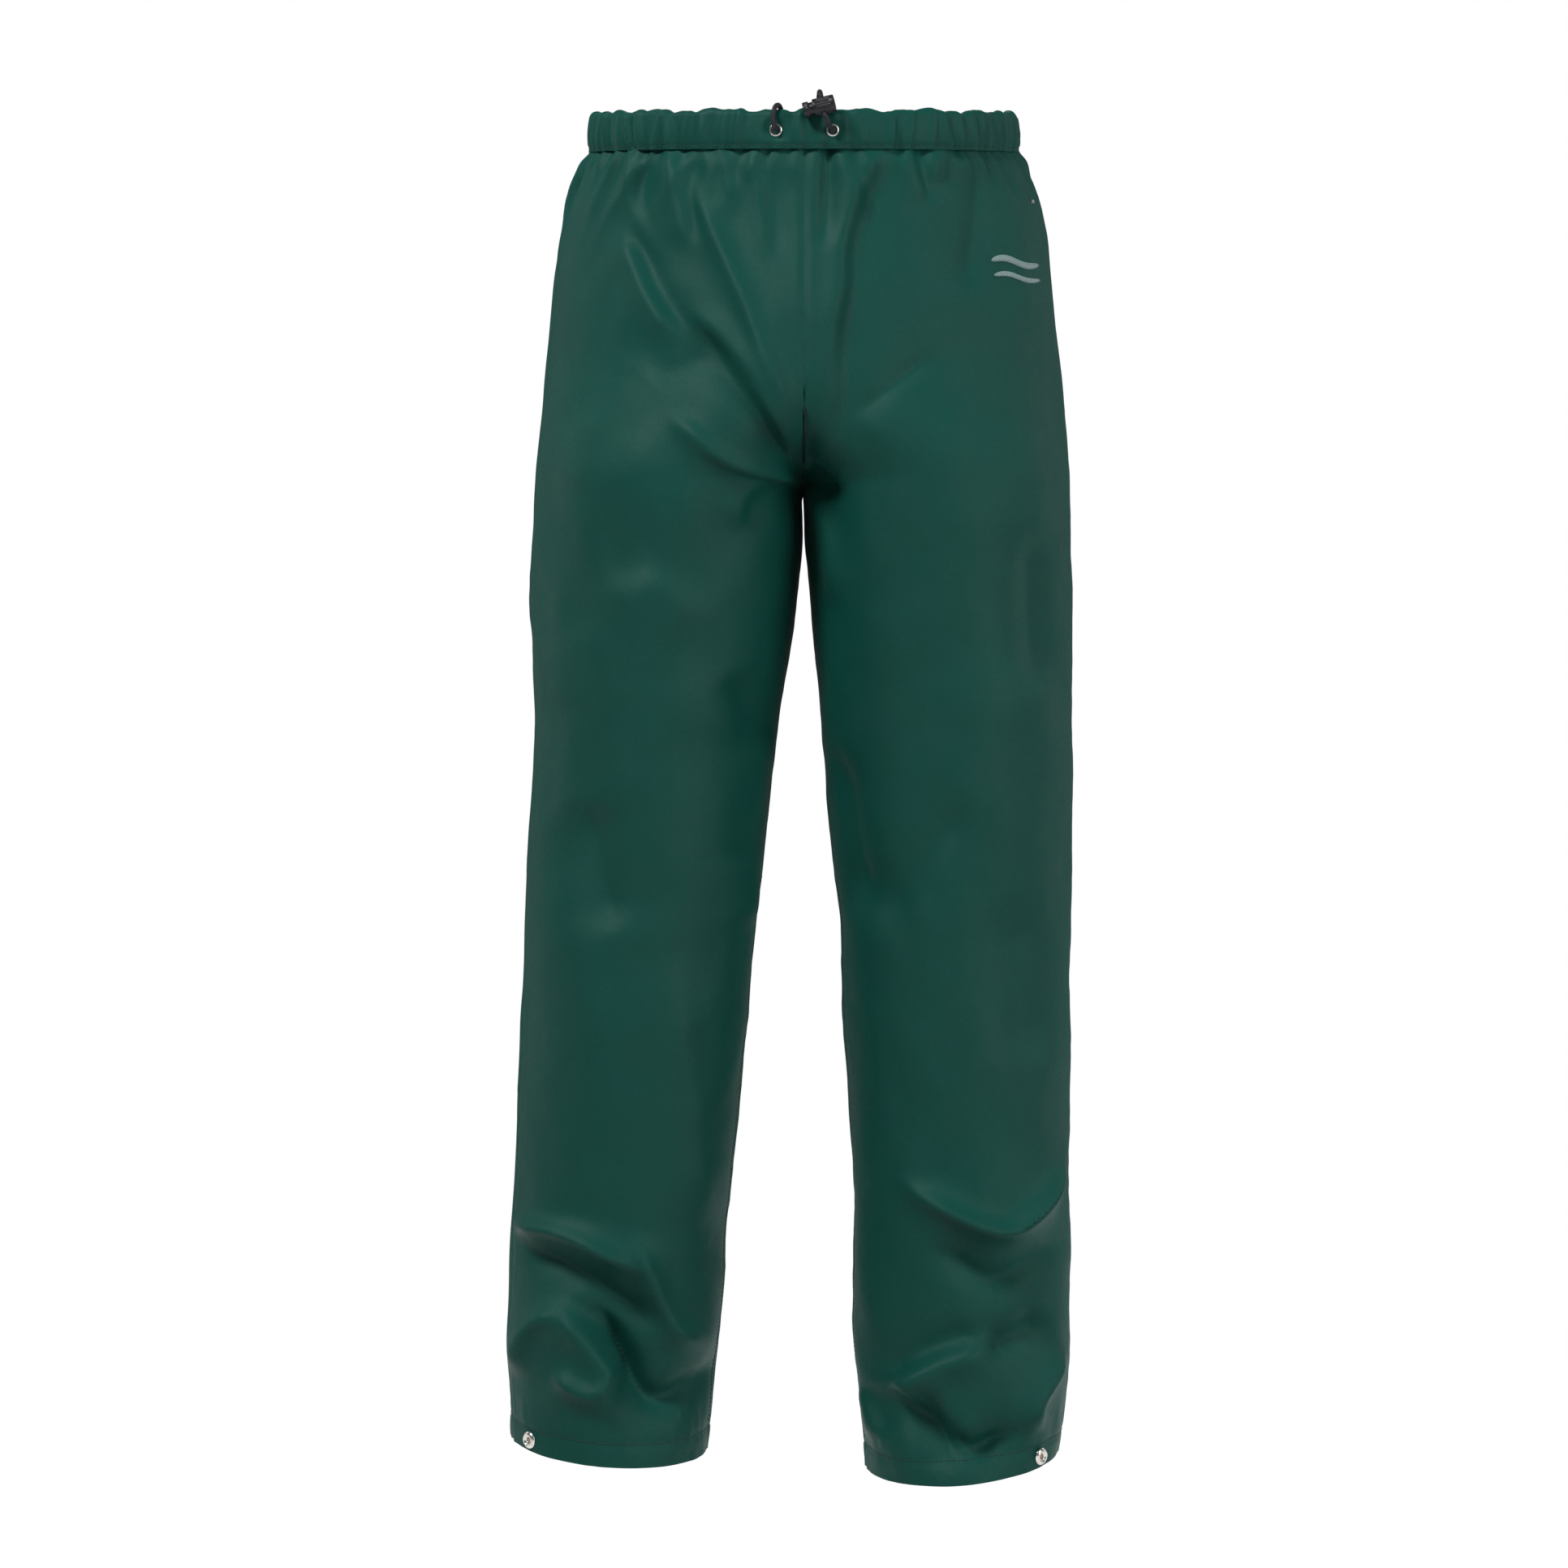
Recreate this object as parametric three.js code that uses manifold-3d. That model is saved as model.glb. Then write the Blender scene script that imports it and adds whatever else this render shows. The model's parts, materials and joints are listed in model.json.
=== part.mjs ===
// Waterproof over-trousers with an elasticated waist, drawn in with a cord through two eyelets and a spring cord lock,
// and with press fasteners at the hems. The garment hangs as it is worn: +Z up, the wearer faces -Y, and +X is the
// wearer's left. The origin is the centre of the waist opening, level with the top fold of the waistband.
//
// Every cloth panel is cut by the same surface: at each height a leg is an ellipse. Above the crotch the two ellipses
// overlap and each stops at the centre plane, which gives the seat, the rise seams and the crotch saddle. The cloth
// bends at the hips and knees, so each panel is made as stretches, and the stretch across a joint is the one that folds.
import * as THREE from "three";
import { mergeVertices } from "three/addons/utils/BufferGeometryUtils.js";
import Module from "manifold-3d";

const wasm = await Module();
wasm.setup();

// ---------------------------------------------------------------- driving dimensions, in millimetres
const CLEARANCE = 0.3; // between pieces that lie against each other
const CLOTH = 1.6; // wall of the coated cloth, thick enough to stand for the real garment's weight

const WAIST_HALF_WIDTH = 170;
const WAIST_HALF_DEPTH = 115;
const WAIST_TILT = 0.1; // the waist plane drops this much per millimetre towards the front
const WAIST_TILT_END = -180; // the tilt has faded out at this height
const HIP_HALF_WIDTH = 206;
const HIP_HEIGHT = -190;
const CROTCH_HEIGHT = -301;
const CROTCH_HALF_WIDTH = 212; // centre plane to the outside of the thigh
const THIGH_GAP = 2; // centre plane to the inside of the thigh, just under the crotch
const KNEE_HEIGHT = -690;
const KNEE_INNER = 36;
const KNEE_OUTER = 220;
const HEM_HEIGHT = -1066;
const HEM_INNER = 63;
const HEM_OUTER = 216;
const HEM_TAPER = 86; // the outside of the leg turns in over this height above the hem
const HEM_TILT = 0.17; // the hem drops this much per millimetre towards the toes
const HEM_CANT = 0.08; // and rises this much per millimetre towards the outside
const HEM_TILT_REACH = 106; // the tilt fades in over this much of the leg above the hem
const LEG_LEAN = { left: -13, right: 13 }; // how far each hem hangs outward of the even stance
const LEG_DROP = { left: 7, right: -7 }; // how far each hem hangs below the even height
const LEAN_START = -380;

const BAND_HEIGHT = 30;
const BAND_SIDES = 48; // facets round the waistband
const CORD_DIAMETER = 4;
const ELASTIC_THICK = 1.2;
const ELASTIC_HEIGHT = 24;

const EYELET_BORE = 2.5;
const EYELET_BARREL = 3.1;
const EYELET_FLANGE = 5;
const EYELET_SHEET = 0.6;
const EYELET_DEPTH = 16; // eyelet centre below the top fold
const EYELET_FACET = 1; // the eyelets sit on the first facets either side of the centre-front facet

const HIP_AXIS = { y: 5, z: CROTCH_HEIGHT };
const KNEE_AXIS = { y: 1, z: KNEE_HEIGHT };
const HIP_STRETCH = { above: 106, below: 76 }; // cloth that folds above and below the hip axis
const KNEE_STRETCH = { above: 106, below: 106 };

const HEM_FACING_HEIGHT = 20;
const SNAP_RADIUS = 7;
const SNAP_POST_RADIUS = 6;
const SNAP_SHANK = 1.9;
const SNAP_CAP_HEIGHT = 3;
const SNAP_ABOVE_HEM = 10;

const TAPE_WIDTH = 20;
const TAPE_THICK = 0.8;

const LOCK_RADIUS = 7;
const LOCK_LENGTH = 17;
const LOCK_WALL = 1.6;
const LOCK_FLOOR = 2;
const LOCK_HOLE = CORD_DIAMETER / 2 + CLEARANCE;
const BUTTON_HEAD = 5;
const BUTTON_TRAVEL = 3;

const MATERIALS = {
  cloth: new THREE.MeshStandardMaterial({ color: 0x1b5046, roughness: 0.55 }),
  lining: new THREE.MeshStandardMaterial({ color: 0x223a35, roughness: 0.8 }),
  elastic: new THREE.MeshStandardMaterial({ color: 0xd8d8d2, roughness: 0.9 }),
  cord: new THREE.MeshStandardMaterial({ color: 0x14141a, roughness: 0.85 }),
  plastic: new THREE.MeshStandardMaterial({ color: 0x17171c, roughness: 0.45 }),
  nickel: new THREE.MeshStandardMaterial({ color: 0xc9c6bd, roughness: 0.3, metalness: 1 }),
  spring: new THREE.MeshStandardMaterial({ color: 0x9a9a9a, roughness: 0.35, metalness: 1 }),
  label: new THREE.MeshStandardMaterial({ color: 0xe8e8e4, roughness: 0.9 }),
  print: new THREE.MeshStandardMaterial({ color: 0x9fb3b5, roughness: 0.5 }),
};

const SIDE_SIGN = { left: 1, right: -1 };

// ---------------------------------------------------------------- small helpers
const clamp01 = (t) => Math.min(1, Math.max(0, t));
const smoothstep = (t) => clamp01(t) ** 2 * (3 - 2 * clamp01(t));

// A smooth curve through [height, value] stations listed from the waist down.
function profile(stations) {
  const slope = stations.map(([z, v], i) => {
    const [za, va] = stations[Math.max(0, i - 1)];
    const [zb, vb] = stations[Math.min(stations.length - 1, i + 1)];
    return (vb - va) / (zb - za);
  });
  return (z) => {
    let i = stations.findIndex(([height]) => z > height) - 1;
    if (i < -1) i = stations.length - 2;
    i = Math.max(0, i);
    const [z0, v0] = stations[i];
    const [z1, v1] = stations[i + 1];
    const span = z1 - z0;
    const t = clamp01((z - z0) / span);
    const s = t * t * (3 - 2 * t);
    const bend0 = span * slope[i] * t * (1 - t) ** 2;
    const bend1 = span * slope[i + 1] * t * t * (1 - t);
    return v0 + (v1 - v0) * s + bend0 - bend1;
  };
}

function solidOf(geometry) {
  const bare = geometry.clone();
  bare.deleteAttribute("normal");
  bare.deleteAttribute("uv");
  const merged = mergeVertices(bare, 1e-4);
  return new wasm.Manifold(
    new wasm.Mesh({
      numProp: 3,
      vertProperties: merged.attributes.position.array,
      triVerts: new Uint32Array(merged.index.array),
    }),
  );
}

function geometryOf(solid) {
  const mesh = solid.getMesh();
  const geometry = new THREE.BufferGeometry();
  geometry.setAttribute("position", new THREE.BufferAttribute(mesh.vertProperties, 3));
  geometry.setIndex(new THREE.BufferAttribute(mesh.triVerts, 1));
  return geometry;
}

function cut(geometry, ...tools) {
  return geometryOf(tools.reduce((left, tool) => left.subtract(solidOf(tool)), solidOf(geometry)));
}

// A closed solid from a grid of points in two layers. closed rows run all the way round, with no end faces.
function layered(rows, columns, pointAt, closed = false) {
  const positions = [];
  const index = [];
  const width = closed ? columns : columns + 1;
  const id = (row, column, layer) => (layer * (rows + 1) + row) * width + (column % width);
  for (let layer = 0; layer < 2; layer += 1)
    for (let row = 0; row <= rows; row += 1)
      for (let column = 0; column < width; column += 1)
        positions.push(...pointAt(row, column, layer));
  const quad = (a, b, c, d) => index.push(a, b, c, a, c, d);
  for (let row = 0; row < rows; row += 1)
    for (let column = 0; column < columns; column += 1) {
      quad(id(row, column, 0), id(row, column + 1, 0), id(row + 1, column + 1, 0), id(row + 1, column, 0));
      quad(id(row, column, 1), id(row + 1, column, 1), id(row + 1, column + 1, 1), id(row, column + 1, 1));
    }
  for (let column = 0; column < columns; column += 1) {
    quad(id(0, column, 1), id(0, column + 1, 1), id(0, column + 1, 0), id(0, column, 0));
    quad(id(rows, column, 0), id(rows, column + 1, 0), id(rows, column + 1, 1), id(rows, column, 1));
  }
  for (let row = 0; row < rows && !closed; row += 1) {
    quad(id(row, 0, 0), id(row + 1, 0, 0), id(row + 1, 0, 1), id(row, 0, 1));
    quad(id(row, columns, 1), id(row + 1, columns, 1), id(row + 1, columns, 0), id(row, columns, 0));
  }
  const geometry = new THREE.BufferGeometry();
  geometry.setAttribute("position", new THREE.Float32BufferAttribute(positions, 3));
  geometry.setIndex(index);
  return signedVolume(geometry) < 0 ? turnedOut(geometry) : geometry;
}

function signedVolume(geometry) {
  const position = geometry.attributes.position;
  const corner = (i) => new THREE.Vector3().fromBufferAttribute(position, geometry.index.getX(i));
  let total = 0;
  for (let i = 0; i < geometry.index.count; i += 3)
    total += corner(i).dot(corner(i + 1).cross(corner(i + 2))) / 6;
  return total;
}

function turnedOut(geometry) {
  const order = Array.from(geometry.index.array);
  for (let i = 0; i < order.length; i += 3) [order[i + 1], order[i + 2]] = [order[i + 2], order[i + 1]];
  geometry.setIndex(order);
  return geometry;
}

function lathe(outline, segments) {
  const points = outline.map(([radius, height]) => new THREE.Vector2(radius, height));
  return new THREE.LatheGeometry(points, segments);
}

// A path through listed points, with a ring of the tube at each.
class Route extends THREE.Curve {
  constructor(points) {
    super();
    this.points = points;
  }
  getPoint(t, target = new THREE.Vector3()) {
    const place = t * (this.points.length - 1);
    const i = Math.min(this.points.length - 2, Math.floor(place));
    return target.copy(this.points[i]).lerp(this.points[i + 1], place - i);
  }
  getPointAt(t, target) {
    return this.getPoint(t, target);
  }
  getTangentAt(t, target = new THREE.Vector3()) {
    const step = 1 / (this.points.length - 1);
    const before = this.getPoint(Math.max(0, t - step));
    return target.copy(this.getPoint(Math.min(1, t + step))).sub(before).normalize();
  }
}

function tube(points, radius, sides) {
  const section = new THREE.Shape(
    Array.from({ length: sides }, (_, i) => {
      const angle = (2 * Math.PI * i) / sides;
      return new THREE.Vector2(radius * Math.cos(angle), radius * Math.sin(angle));
    }),
  );
  const extrudePath = new Route(points);
  return new THREE.ExtrudeGeometry(section, { steps: points.length - 1, bevelEnabled: false, extrudePath });
}

const parts = new THREE.Group();
function add(name, geometry, material, place = null) {
  const mesh = new THREE.Mesh(geometry, MATERIALS[material]);
  mesh.name = name;
  if (place) place(mesh);
  parts.add(mesh);
  return mesh;
}

// ---------------------------------------------------------------- the garment's surface
const outerSide = profile([
  [0, WAIST_HALF_WIDTH],
  [-BAND_HEIGHT, WAIST_HALF_WIDTH + 2],
  [-80, 191],
  [-140, 201],
  [HIP_HEIGHT, HIP_HALF_WIDTH],
  [CROTCH_HEIGHT, CROTCH_HALF_WIDTH],
  [-500, 217],
  [KNEE_HEIGHT, KNEE_OUTER],
  [HEM_HEIGHT + HEM_TAPER, 224],
  [HEM_HEIGHT, HEM_OUTER],
]);
const innerSide = profile([
  [CROTCH_HEIGHT, THIGH_GAP / 2],
  [-350, THIGH_GAP],
  [-460, 16],
  [-600, 30],
  [KNEE_HEIGHT, KNEE_INNER],
  [HEM_HEIGHT + HEM_TAPER + 34, 51],
  [HEM_HEIGHT, HEM_INNER],
]);
const frontSide = profile([
  [0, -WAIST_HALF_DEPTH],
  [-BAND_HEIGHT, -WAIST_HALF_DEPTH],
  [HIP_HEIGHT, -125],
  [CROTCH_HEIGHT, -122],
  [-420, -113],
  [KNEE_HEIGHT, -97],
  [HEM_HEIGHT, -72],
]);
const backSide = profile([
  [0, WAIST_HALF_DEPTH],
  [-BAND_HEIGHT, WAIST_HALF_DEPTH],
  [HIP_HEIGHT, 146],
  [CROTCH_HEIGHT, 136],
  [-420, 120],
  [KNEE_HEIGHT, 99],
  [HEM_HEIGHT, 84],
]);

// The ellipse of one leg at a height: middle and half size across, middle and half size in depth.
function legRing(z, inset) {
  const outer = outerSide(z);
  let inner = innerSide(z);
  if (z > CROTCH_HEIGHT) {
    const share = clamp01((HIP_HEIGHT - z) / (HIP_HEIGHT - CROTCH_HEIGHT));
    inner = -outer * (1 - share) + inner * share;
  }
  const front = frontSide(z);
  const back = backSide(z);
  return {
    across: (outer + inner) / 2,
    halfWidth: (outer - inner) / 2 - inset,
    middle: (front + back) / 2,
    halfDepth: (back - front) / 2 - inset,
  };
}

// The angle from the side seam at which a leg's ellipse meets the rise seam, or the inseam below the crotch.
function seamAngle(z, inset) {
  const { across, halfWidth } = legRing(z, inset);
  const reach = (across - CLEARANCE / 2) / halfWidth;
  return reach < 1 ? Math.acos(-reach) : Math.PI;
}

const waistAngle = (z) => Math.atan(WAIST_TILT) * smoothstep((z - WAIST_TILT_END) / (-BAND_HEIGHT - 10 - WAIST_TILT_END));

// A point of the cloth: angle 0 is the side seam and positive angles run over the front.
function clothPoint(side, z, angle, inset) {
  const { across, halfWidth, middle, halfDepth } = legRing(z, inset);
  const out = across + halfWidth * Math.cos(angle);
  const depth = middle - halfDepth * Math.sin(angle);
  const down = clamp01((LEAN_START - z) / (LEAN_START - HEM_HEIGHT));
  const hem = smoothstep((HEM_HEIGHT + HEM_TILT_REACH - z) / HEM_TILT_REACH);
  const x = SIDE_SIGN[side] * (out + LEG_LEAN[side] * down);
  const lift = hem * (HEM_TILT * (depth - middle) + HEM_CANT * (out - across)) - LEG_DROP[side] * down;
  const turn = waistAngle(z);
  return [x, depth * Math.cos(turn) - z * Math.sin(turn), z * Math.cos(turn) + depth * Math.sin(turn) + lift];
}

// Every stretch of a leg is cut to one grid: the same heights all round, and the same columns in front and behind.
// Column 0 is the side seam, COLUMNS is the rise seam or inseam, and the tapes reach one column to each side of a seam.
const COLUMNS = 10;
const FACE_SIGN = { front: 1, back: -1 };
function columnAngle(z, inset, column) {
  const end = seamAngle(z, inset);
  const tape = TAPE_WIDTH / 2 / legRing(z, 0).halfDepth;
  if (column <= 0) return 0;
  if (column >= COLUMNS) return end;
  return tape + ((end - 2 * tape) * (column - 1)) / (COLUMNS - 2);
}

function columnPoint(side, face, z, column, inset) {
  return clothPoint(side, z, FACE_SIGN[face] * columnAngle(z, inset, column), inset);
}

// The flat place between four grid points: its middle at a share of the way down, and its outward direction.
function facetFrame(side, face, above, below, column, share) {
  const corner = (z, step) => new THREE.Vector3(...columnPoint(side, face, z, column + step, 0));
  const [a, b, c, d] = [corner(above, 0), corner(above, 1), corner(below, 0), corner(below, 1)];
  const place = a.clone().add(b).multiplyScalar((1 - share) / 2).add(c.clone().add(d).multiplyScalar(share / 2));
  const normal = d.sub(a).cross(c.sub(b)).normalize();
  const outward = new THREE.Vector3(place.x - SIDE_SIGN[side] * legRing(below, 0).across, place.y, 0);
  if (normal.dot(outward) < 0) normal.negate();
  return { place, normal };
}

// Turns a lathed piece, whose axis is +Y, so that it points along a direction from a place.
function pointing(place, direction, offset = 0) {
  return (mesh) => {
    mesh.quaternion.setFromUnitVectors(new THREE.Vector3(0, 1, 0), direction);
    mesh.position.copy(place).addScaledVector(direction, offset);
  };
}

function placed(geometry, place, direction, offset = 0) {
  const holder = new THREE.Object3D();
  pointing(place, direction, offset)(holder);
  holder.updateMatrix();
  return geometry.applyMatrix4(holder.matrix);
}

// Heights from top to bottom, with one at each of the marks, where the crotch turns and where the hem facing ends.
const MARKS = [CROTCH_HEIGHT + 26, CROTCH_HEIGHT + 10, CROTCH_HEIGHT + 3, CROTCH_HEIGHT, HEM_HEIGHT + HEM_FACING_HEIGHT];
function rowHeights(top, bottom, step) {
  const ends = [top - CLEARANCE / 2, bottom + CLEARANCE / 2];
  const marks = MARKS.filter((mark) => mark < ends[0] && mark > ends[1]);
  const count = Math.ceil((top - bottom) / step);
  const even = Array.from({ length: count - 1 }, (_, i) => top - ((top - bottom) * (i + 1)) / count);
  const free = even.filter((z) => [...ends, ...marks].every((mark) => Math.abs(mark - z) > step / 4));
  return [...ends, ...marks, ...free].sort((a, b) => b - a);
}

// One stretch of a front or back panel, from the side seam to the rise seam or inseam.
function panelStretch(side, face, heights) {
  return layered(heights.length - 1, COLUMNS, (row, column, layer) => {
    const z = heights[row];
    const inset = layer * CLOTH;
    const gap = CLEARANCE / 2 / legRing(z, inset).halfDepth;
    const end = seamAngle(z, inset) - (z <= CROTCH_HEIGHT ? gap : 0);
    const angle = Math.min(end, Math.max(gap, columnAngle(z, inset, column)));
    return clothPoint(side, z, FACE_SIGN[face] * angle, inset);
  });
}

// A sealing tape inside a seam, through three points at each height.
function tapeStretch(heights, across) {
  return layered(heights.length - 1, 2, (row, column, layer) =>
    across[column](heights[row], CLOTH + CLEARANCE + layer * TAPE_THICK));
}
const taped = (side, face, column) => (z, inset) => columnPoint(side, face, z, column, inset);

// ---------------------------------------------------------------- cloth, cut at the joints
const SEAT_BOTTOM = HIP_AXIS.z + HIP_STRETCH.above;
const THIGH_TOP = HIP_AXIS.z - HIP_STRETCH.below;
const THIGH_BOTTOM = KNEE_AXIS.z + KNEE_STRETCH.above;
const SHIN_TOP = KNEE_AXIS.z - KNEE_STRETCH.below;
const STRETCHES = [
  ["seat", -BAND_HEIGHT - CLEARANCE / 2, SEAT_BOTTOM, 45],
  ["hip", SEAT_BOTTOM, THIGH_TOP, 45],
  ["thigh", THIGH_TOP, THIGH_BOTTOM, 70],
  ["knee", THIGH_BOTTOM, SHIN_TOP, 70],
  ["shin", SHIN_TOP, HEM_HEIGHT, 60],
];

// The press fasteners sit in the middle of a facet of the lowest row, one in front of the side seam and one behind.
const SNAP_COLUMN = 2;
const SNAP_SHARE = 1 - SNAP_ABOVE_HEM / HEM_FACING_HEIGHT;
const snapFrame = (side, face) =>
  facetFrame(side, face, HEM_HEIGHT + HEM_FACING_HEIGHT, HEM_HEIGHT + CLEARANCE / 2, SNAP_COLUMN, SNAP_SHARE);
const snapHole = (side, face) => {
  const { place, normal } = snapFrame(side, face);
  const radius = SNAP_SHANK + CLEARANCE;
  return placed(new THREE.CylinderGeometry(radius, radius, 14, 12), place, normal);
};

for (const side of ["left", "right"]) {
  for (const [stretch, top, bottom, step] of STRETCHES) {
    const heights = rowHeights(top, bottom, step);
    for (const face of ["front", "back"]) {
      const panel = panelStretch(side, face, heights);
      const holed = stretch === "shin" ? cut(panel, snapHole(side, face)) : panel;
      add(`${side}_${face}_panel_${stretch}`, holed, "cloth");
    }
    if (["seat", "thigh", "shin"].includes(stretch)) {
      const taken = heights.filter((z) => z > HEM_HEIGHT + HEM_FACING_HEIGHT);
      const sideSeam = [taped(side, "front", 1), taped(side, "front", 0), taped(side, "back", 1)];
      add(`${side}_side_seam_tape_${stretch}`, tapeStretch(taken, sideSeam), "lining");
      const last = COLUMNS - 1;
      const inseam = [taped(side, "front", last), taped(side, "front", COLUMNS), taped(side, "back", last)];
      if (stretch !== "seat") add(`${side}_inseam_tape_${stretch}`, tapeStretch(taken, inseam), "lining");
    }
  }
}

// The rise seam's tape, inside the centre front and centre back of the seat.
for (const face of ["front", "back"]) {
  const centre = (z, inset) => {
    const [, y, height] = columnPoint("left", face, z, COLUMNS, inset);
    return [0, y, height];
  };
  const across = [taped("left", face, COLUMNS - 1), centre, taped("right", face, COLUMNS - 1)];
  const heights = rowHeights(...STRETCHES[0].slice(1));
  add(`${face}_rise_tape`, tapeStretch(heights, across), "lining");
}

// ---------------------------------------------------------------- hems and press fasteners
function hemFacing(side) {
  const heights = [HEM_HEIGHT + HEM_FACING_HEIGHT - CLEARANCE, HEM_HEIGHT + CLEARANCE / 2];
  return layered(1, 2 * COLUMNS, (row, column, layer) => {
    const face = column <= COLUMNS ? "front" : "back";
    const inward = column <= COLUMNS ? column : 2 * COLUMNS - column;
    return columnPoint(side, face, heights[row], inward, CLOTH + CLEARANCE + layer * CLOTH);
  }, true);
}

const SNAP_SEGMENTS = 14;
const socketShape = () =>
  lathe([
    [SNAP_SHANK + CLEARANCE, 0],
    [SNAP_RADIUS - 0.6, 0],
    [SNAP_RADIUS, 0.8],
    [SNAP_RADIUS - 0.8, SNAP_CAP_HEIGHT - 0.6],
    [SNAP_RADIUS - 2.4, SNAP_CAP_HEIGHT],
    [SNAP_SHANK + 1.2, SNAP_CAP_HEIGHT - 1.2],
    [SNAP_SHANK + CLEARANCE, SNAP_CAP_HEIGHT - 1.4],
    [SNAP_SHANK + CLEARANCE, 0],
  ], SNAP_SEGMENTS);
const studShape = () =>
  lathe([
    [SNAP_SHANK + CLEARANCE, 0],
    [SNAP_RADIUS - 0.6, 0],
    [SNAP_RADIUS, 0.6],
    [SNAP_SHANK + 1.4, 1.1],
    [SNAP_SHANK + 1.5, SNAP_CAP_HEIGHT],
    [SNAP_SHANK + CLEARANCE, SNAP_CAP_HEIGHT],
    [SNAP_SHANK + CLEARANCE, 0],
  ], SNAP_SEGMENTS);
// The post inside the leg: its shank goes out through facing and cloth, and is rolled over in the socket or stud.
const SNAP_STACK = 2 * (CLOTH + CLEARANCE) + CLEARANCE;
const postShape = () =>
  lathe([
    [0, -SNAP_STACK - 0.9],
    [SNAP_POST_RADIUS, -SNAP_STACK - 0.7],
    [SNAP_POST_RADIUS, -SNAP_STACK],
    [SNAP_SHANK, -SNAP_STACK],
    [SNAP_SHANK, SNAP_CAP_HEIGHT - 1.6],
    [0, SNAP_CAP_HEIGHT - 2],
  ], SNAP_SEGMENTS);

for (const side of ["left", "right"]) {
  add(`${side}_hem_facing`, cut(hemFacing(side), snapHole(side, "front"), snapHole(side, "back")), "cloth");
  for (const [kind, face, shape] of [["socket", "front", socketShape], ["stud", "back", studShape]]) {
    const { place, normal } = snapFrame(side, face);
    add(`${side}_hem_${kind}`, shape(), "nickel", pointing(place, normal, CLEARANCE));
    add(`${side}_hem_${kind}_post`, postShape(), "nickel", pointing(place, normal));
  }
}

// ---------------------------------------------------------------- waistband
// The waistband turns as one with the tilt of the waist, so it is built level in a group of its own.
const band = new THREE.Group();
band.rotation.x = Math.atan(WAIST_TILT);
parts.add(band);

const WASHER_INSET = CLOTH + CLEARANCE;
const CORD_INSET = WASHER_INSET + EYELET_SHEET + CLEARANCE + CORD_DIAMETER / 2;
const ELASTIC_INSET = CORD_INSET + CORD_DIAMETER / 2 + CLEARANCE;
const INNER_WALL_INSET = ELASTIC_INSET + ELASTIC_THICK + CLEARANCE;
const BAND_THICK = INNER_WALL_INSET + CLOTH;

// A point of the waistband at a facet count from the centre front, which runs towards the wearer's left.
function bandPoint(facet, inset, z) {
  const angle = (2 * Math.PI * facet) / BAND_SIDES;
  const x = (WAIST_HALF_WIDTH - inset) * Math.sin(angle);
  return [x, -(WAIST_HALF_DEPTH - inset) * Math.cos(angle), z];
}

// A closed ring round the waist, from a closed outline of [inset, height] corners.
function bandRing(outline) {
  const positions = [];
  const index = [];
  const corners = outline.length;
  for (let i = 0; i < BAND_SIDES; i += 1)
    for (const [inset, z] of outline) positions.push(...bandPoint(i + 0.5, inset, z));
  for (let i = 0; i < BAND_SIDES; i += 1)
    for (let j = 0; j < corners; j += 1) {
      const next = (i + 1) % BAND_SIDES;
      const turn = (j + 1) % corners;
      const [a, b, c, d] = [i * corners + j, next * corners + j, next * corners + turn, i * corners + turn];
      index.push(a, b, c, a, c, d);
    }
  const geometry = new THREE.BufferGeometry();
  geometry.setAttribute("position", new THREE.Float32BufferAttribute(positions, 3));
  geometry.setIndex(index);
  return signedVolume(geometry) < 0 ? turnedOut(geometry) : geometry;
}

// The cloth folded over the elastic: outer wall, rounded fold, inner wall, open below.
function casingOutline() {
  const outline = [[0, -BAND_HEIGHT]];
  const arc = 4;
  const half = BAND_THICK / 2;
  for (let i = 0; i <= arc; i += 1) {
    const angle = (Math.PI * i) / arc;
    outline.push([half - half * Math.cos(angle), -half + half * Math.sin(angle)]);
  }
  outline.push([BAND_THICK, -BAND_HEIGHT], [INNER_WALL_INSET, -BAND_HEIGHT]);
  const inner = half - CLOTH;
  for (let i = 0; i <= arc; i += 1) {
    const angle = (Math.PI * i) / arc;
    outline.push([half + inner * Math.cos(angle), -half + inner * Math.sin(angle)]);
  }
  outline.push([CLOTH, -BAND_HEIGHT]);
  return outline;
}

const EYELETS = { left: EYELET_FACET, right: -EYELET_FACET };
function eyeletFrame(side) {
  const facet = EYELETS[side];
  const before = new THREE.Vector3(...bandPoint(facet - 0.5, 0, -EYELET_DEPTH));
  const after = new THREE.Vector3(...bandPoint(facet + 0.5, 0, -EYELET_DEPTH));
  const place = before.clone().lerp(after, 0.5);
  const normal = after.sub(before).cross(new THREE.Vector3(0, 0, 1)).normalize();
  return { place, normal };
}

function addToBand(name, geometry, material, place = null) {
  band.add(add(name, geometry, material, place));
}

const eyeletHoles = ["left", "right"].map((side) => {
  const { place, normal } = eyeletFrame(side);
  const radius = EYELET_BARREL + CLEARANCE;
  return placed(new THREE.CylinderGeometry(radius, radius, 2 * CLOTH + 1, 16), place, normal, -CLOTH / 2);
});
addToBand("waistband_casing", cut(bandRing(casingOutline()), ...eyeletHoles), "cloth");

const ELASTIC_TOP = -BAND_THICK / 2;
addToBand("waist_elastic", bandRing([
  [ELASTIC_INSET, ELASTIC_TOP],
  [ELASTIC_INSET + ELASTIC_THICK, ELASTIC_TOP],
  [ELASTIC_INSET + ELASTIC_THICK, ELASTIC_TOP - ELASTIC_HEIGHT],
  [ELASTIC_INSET, ELASTIC_TOP - ELASTIC_HEIGHT],
]), "elastic");

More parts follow.
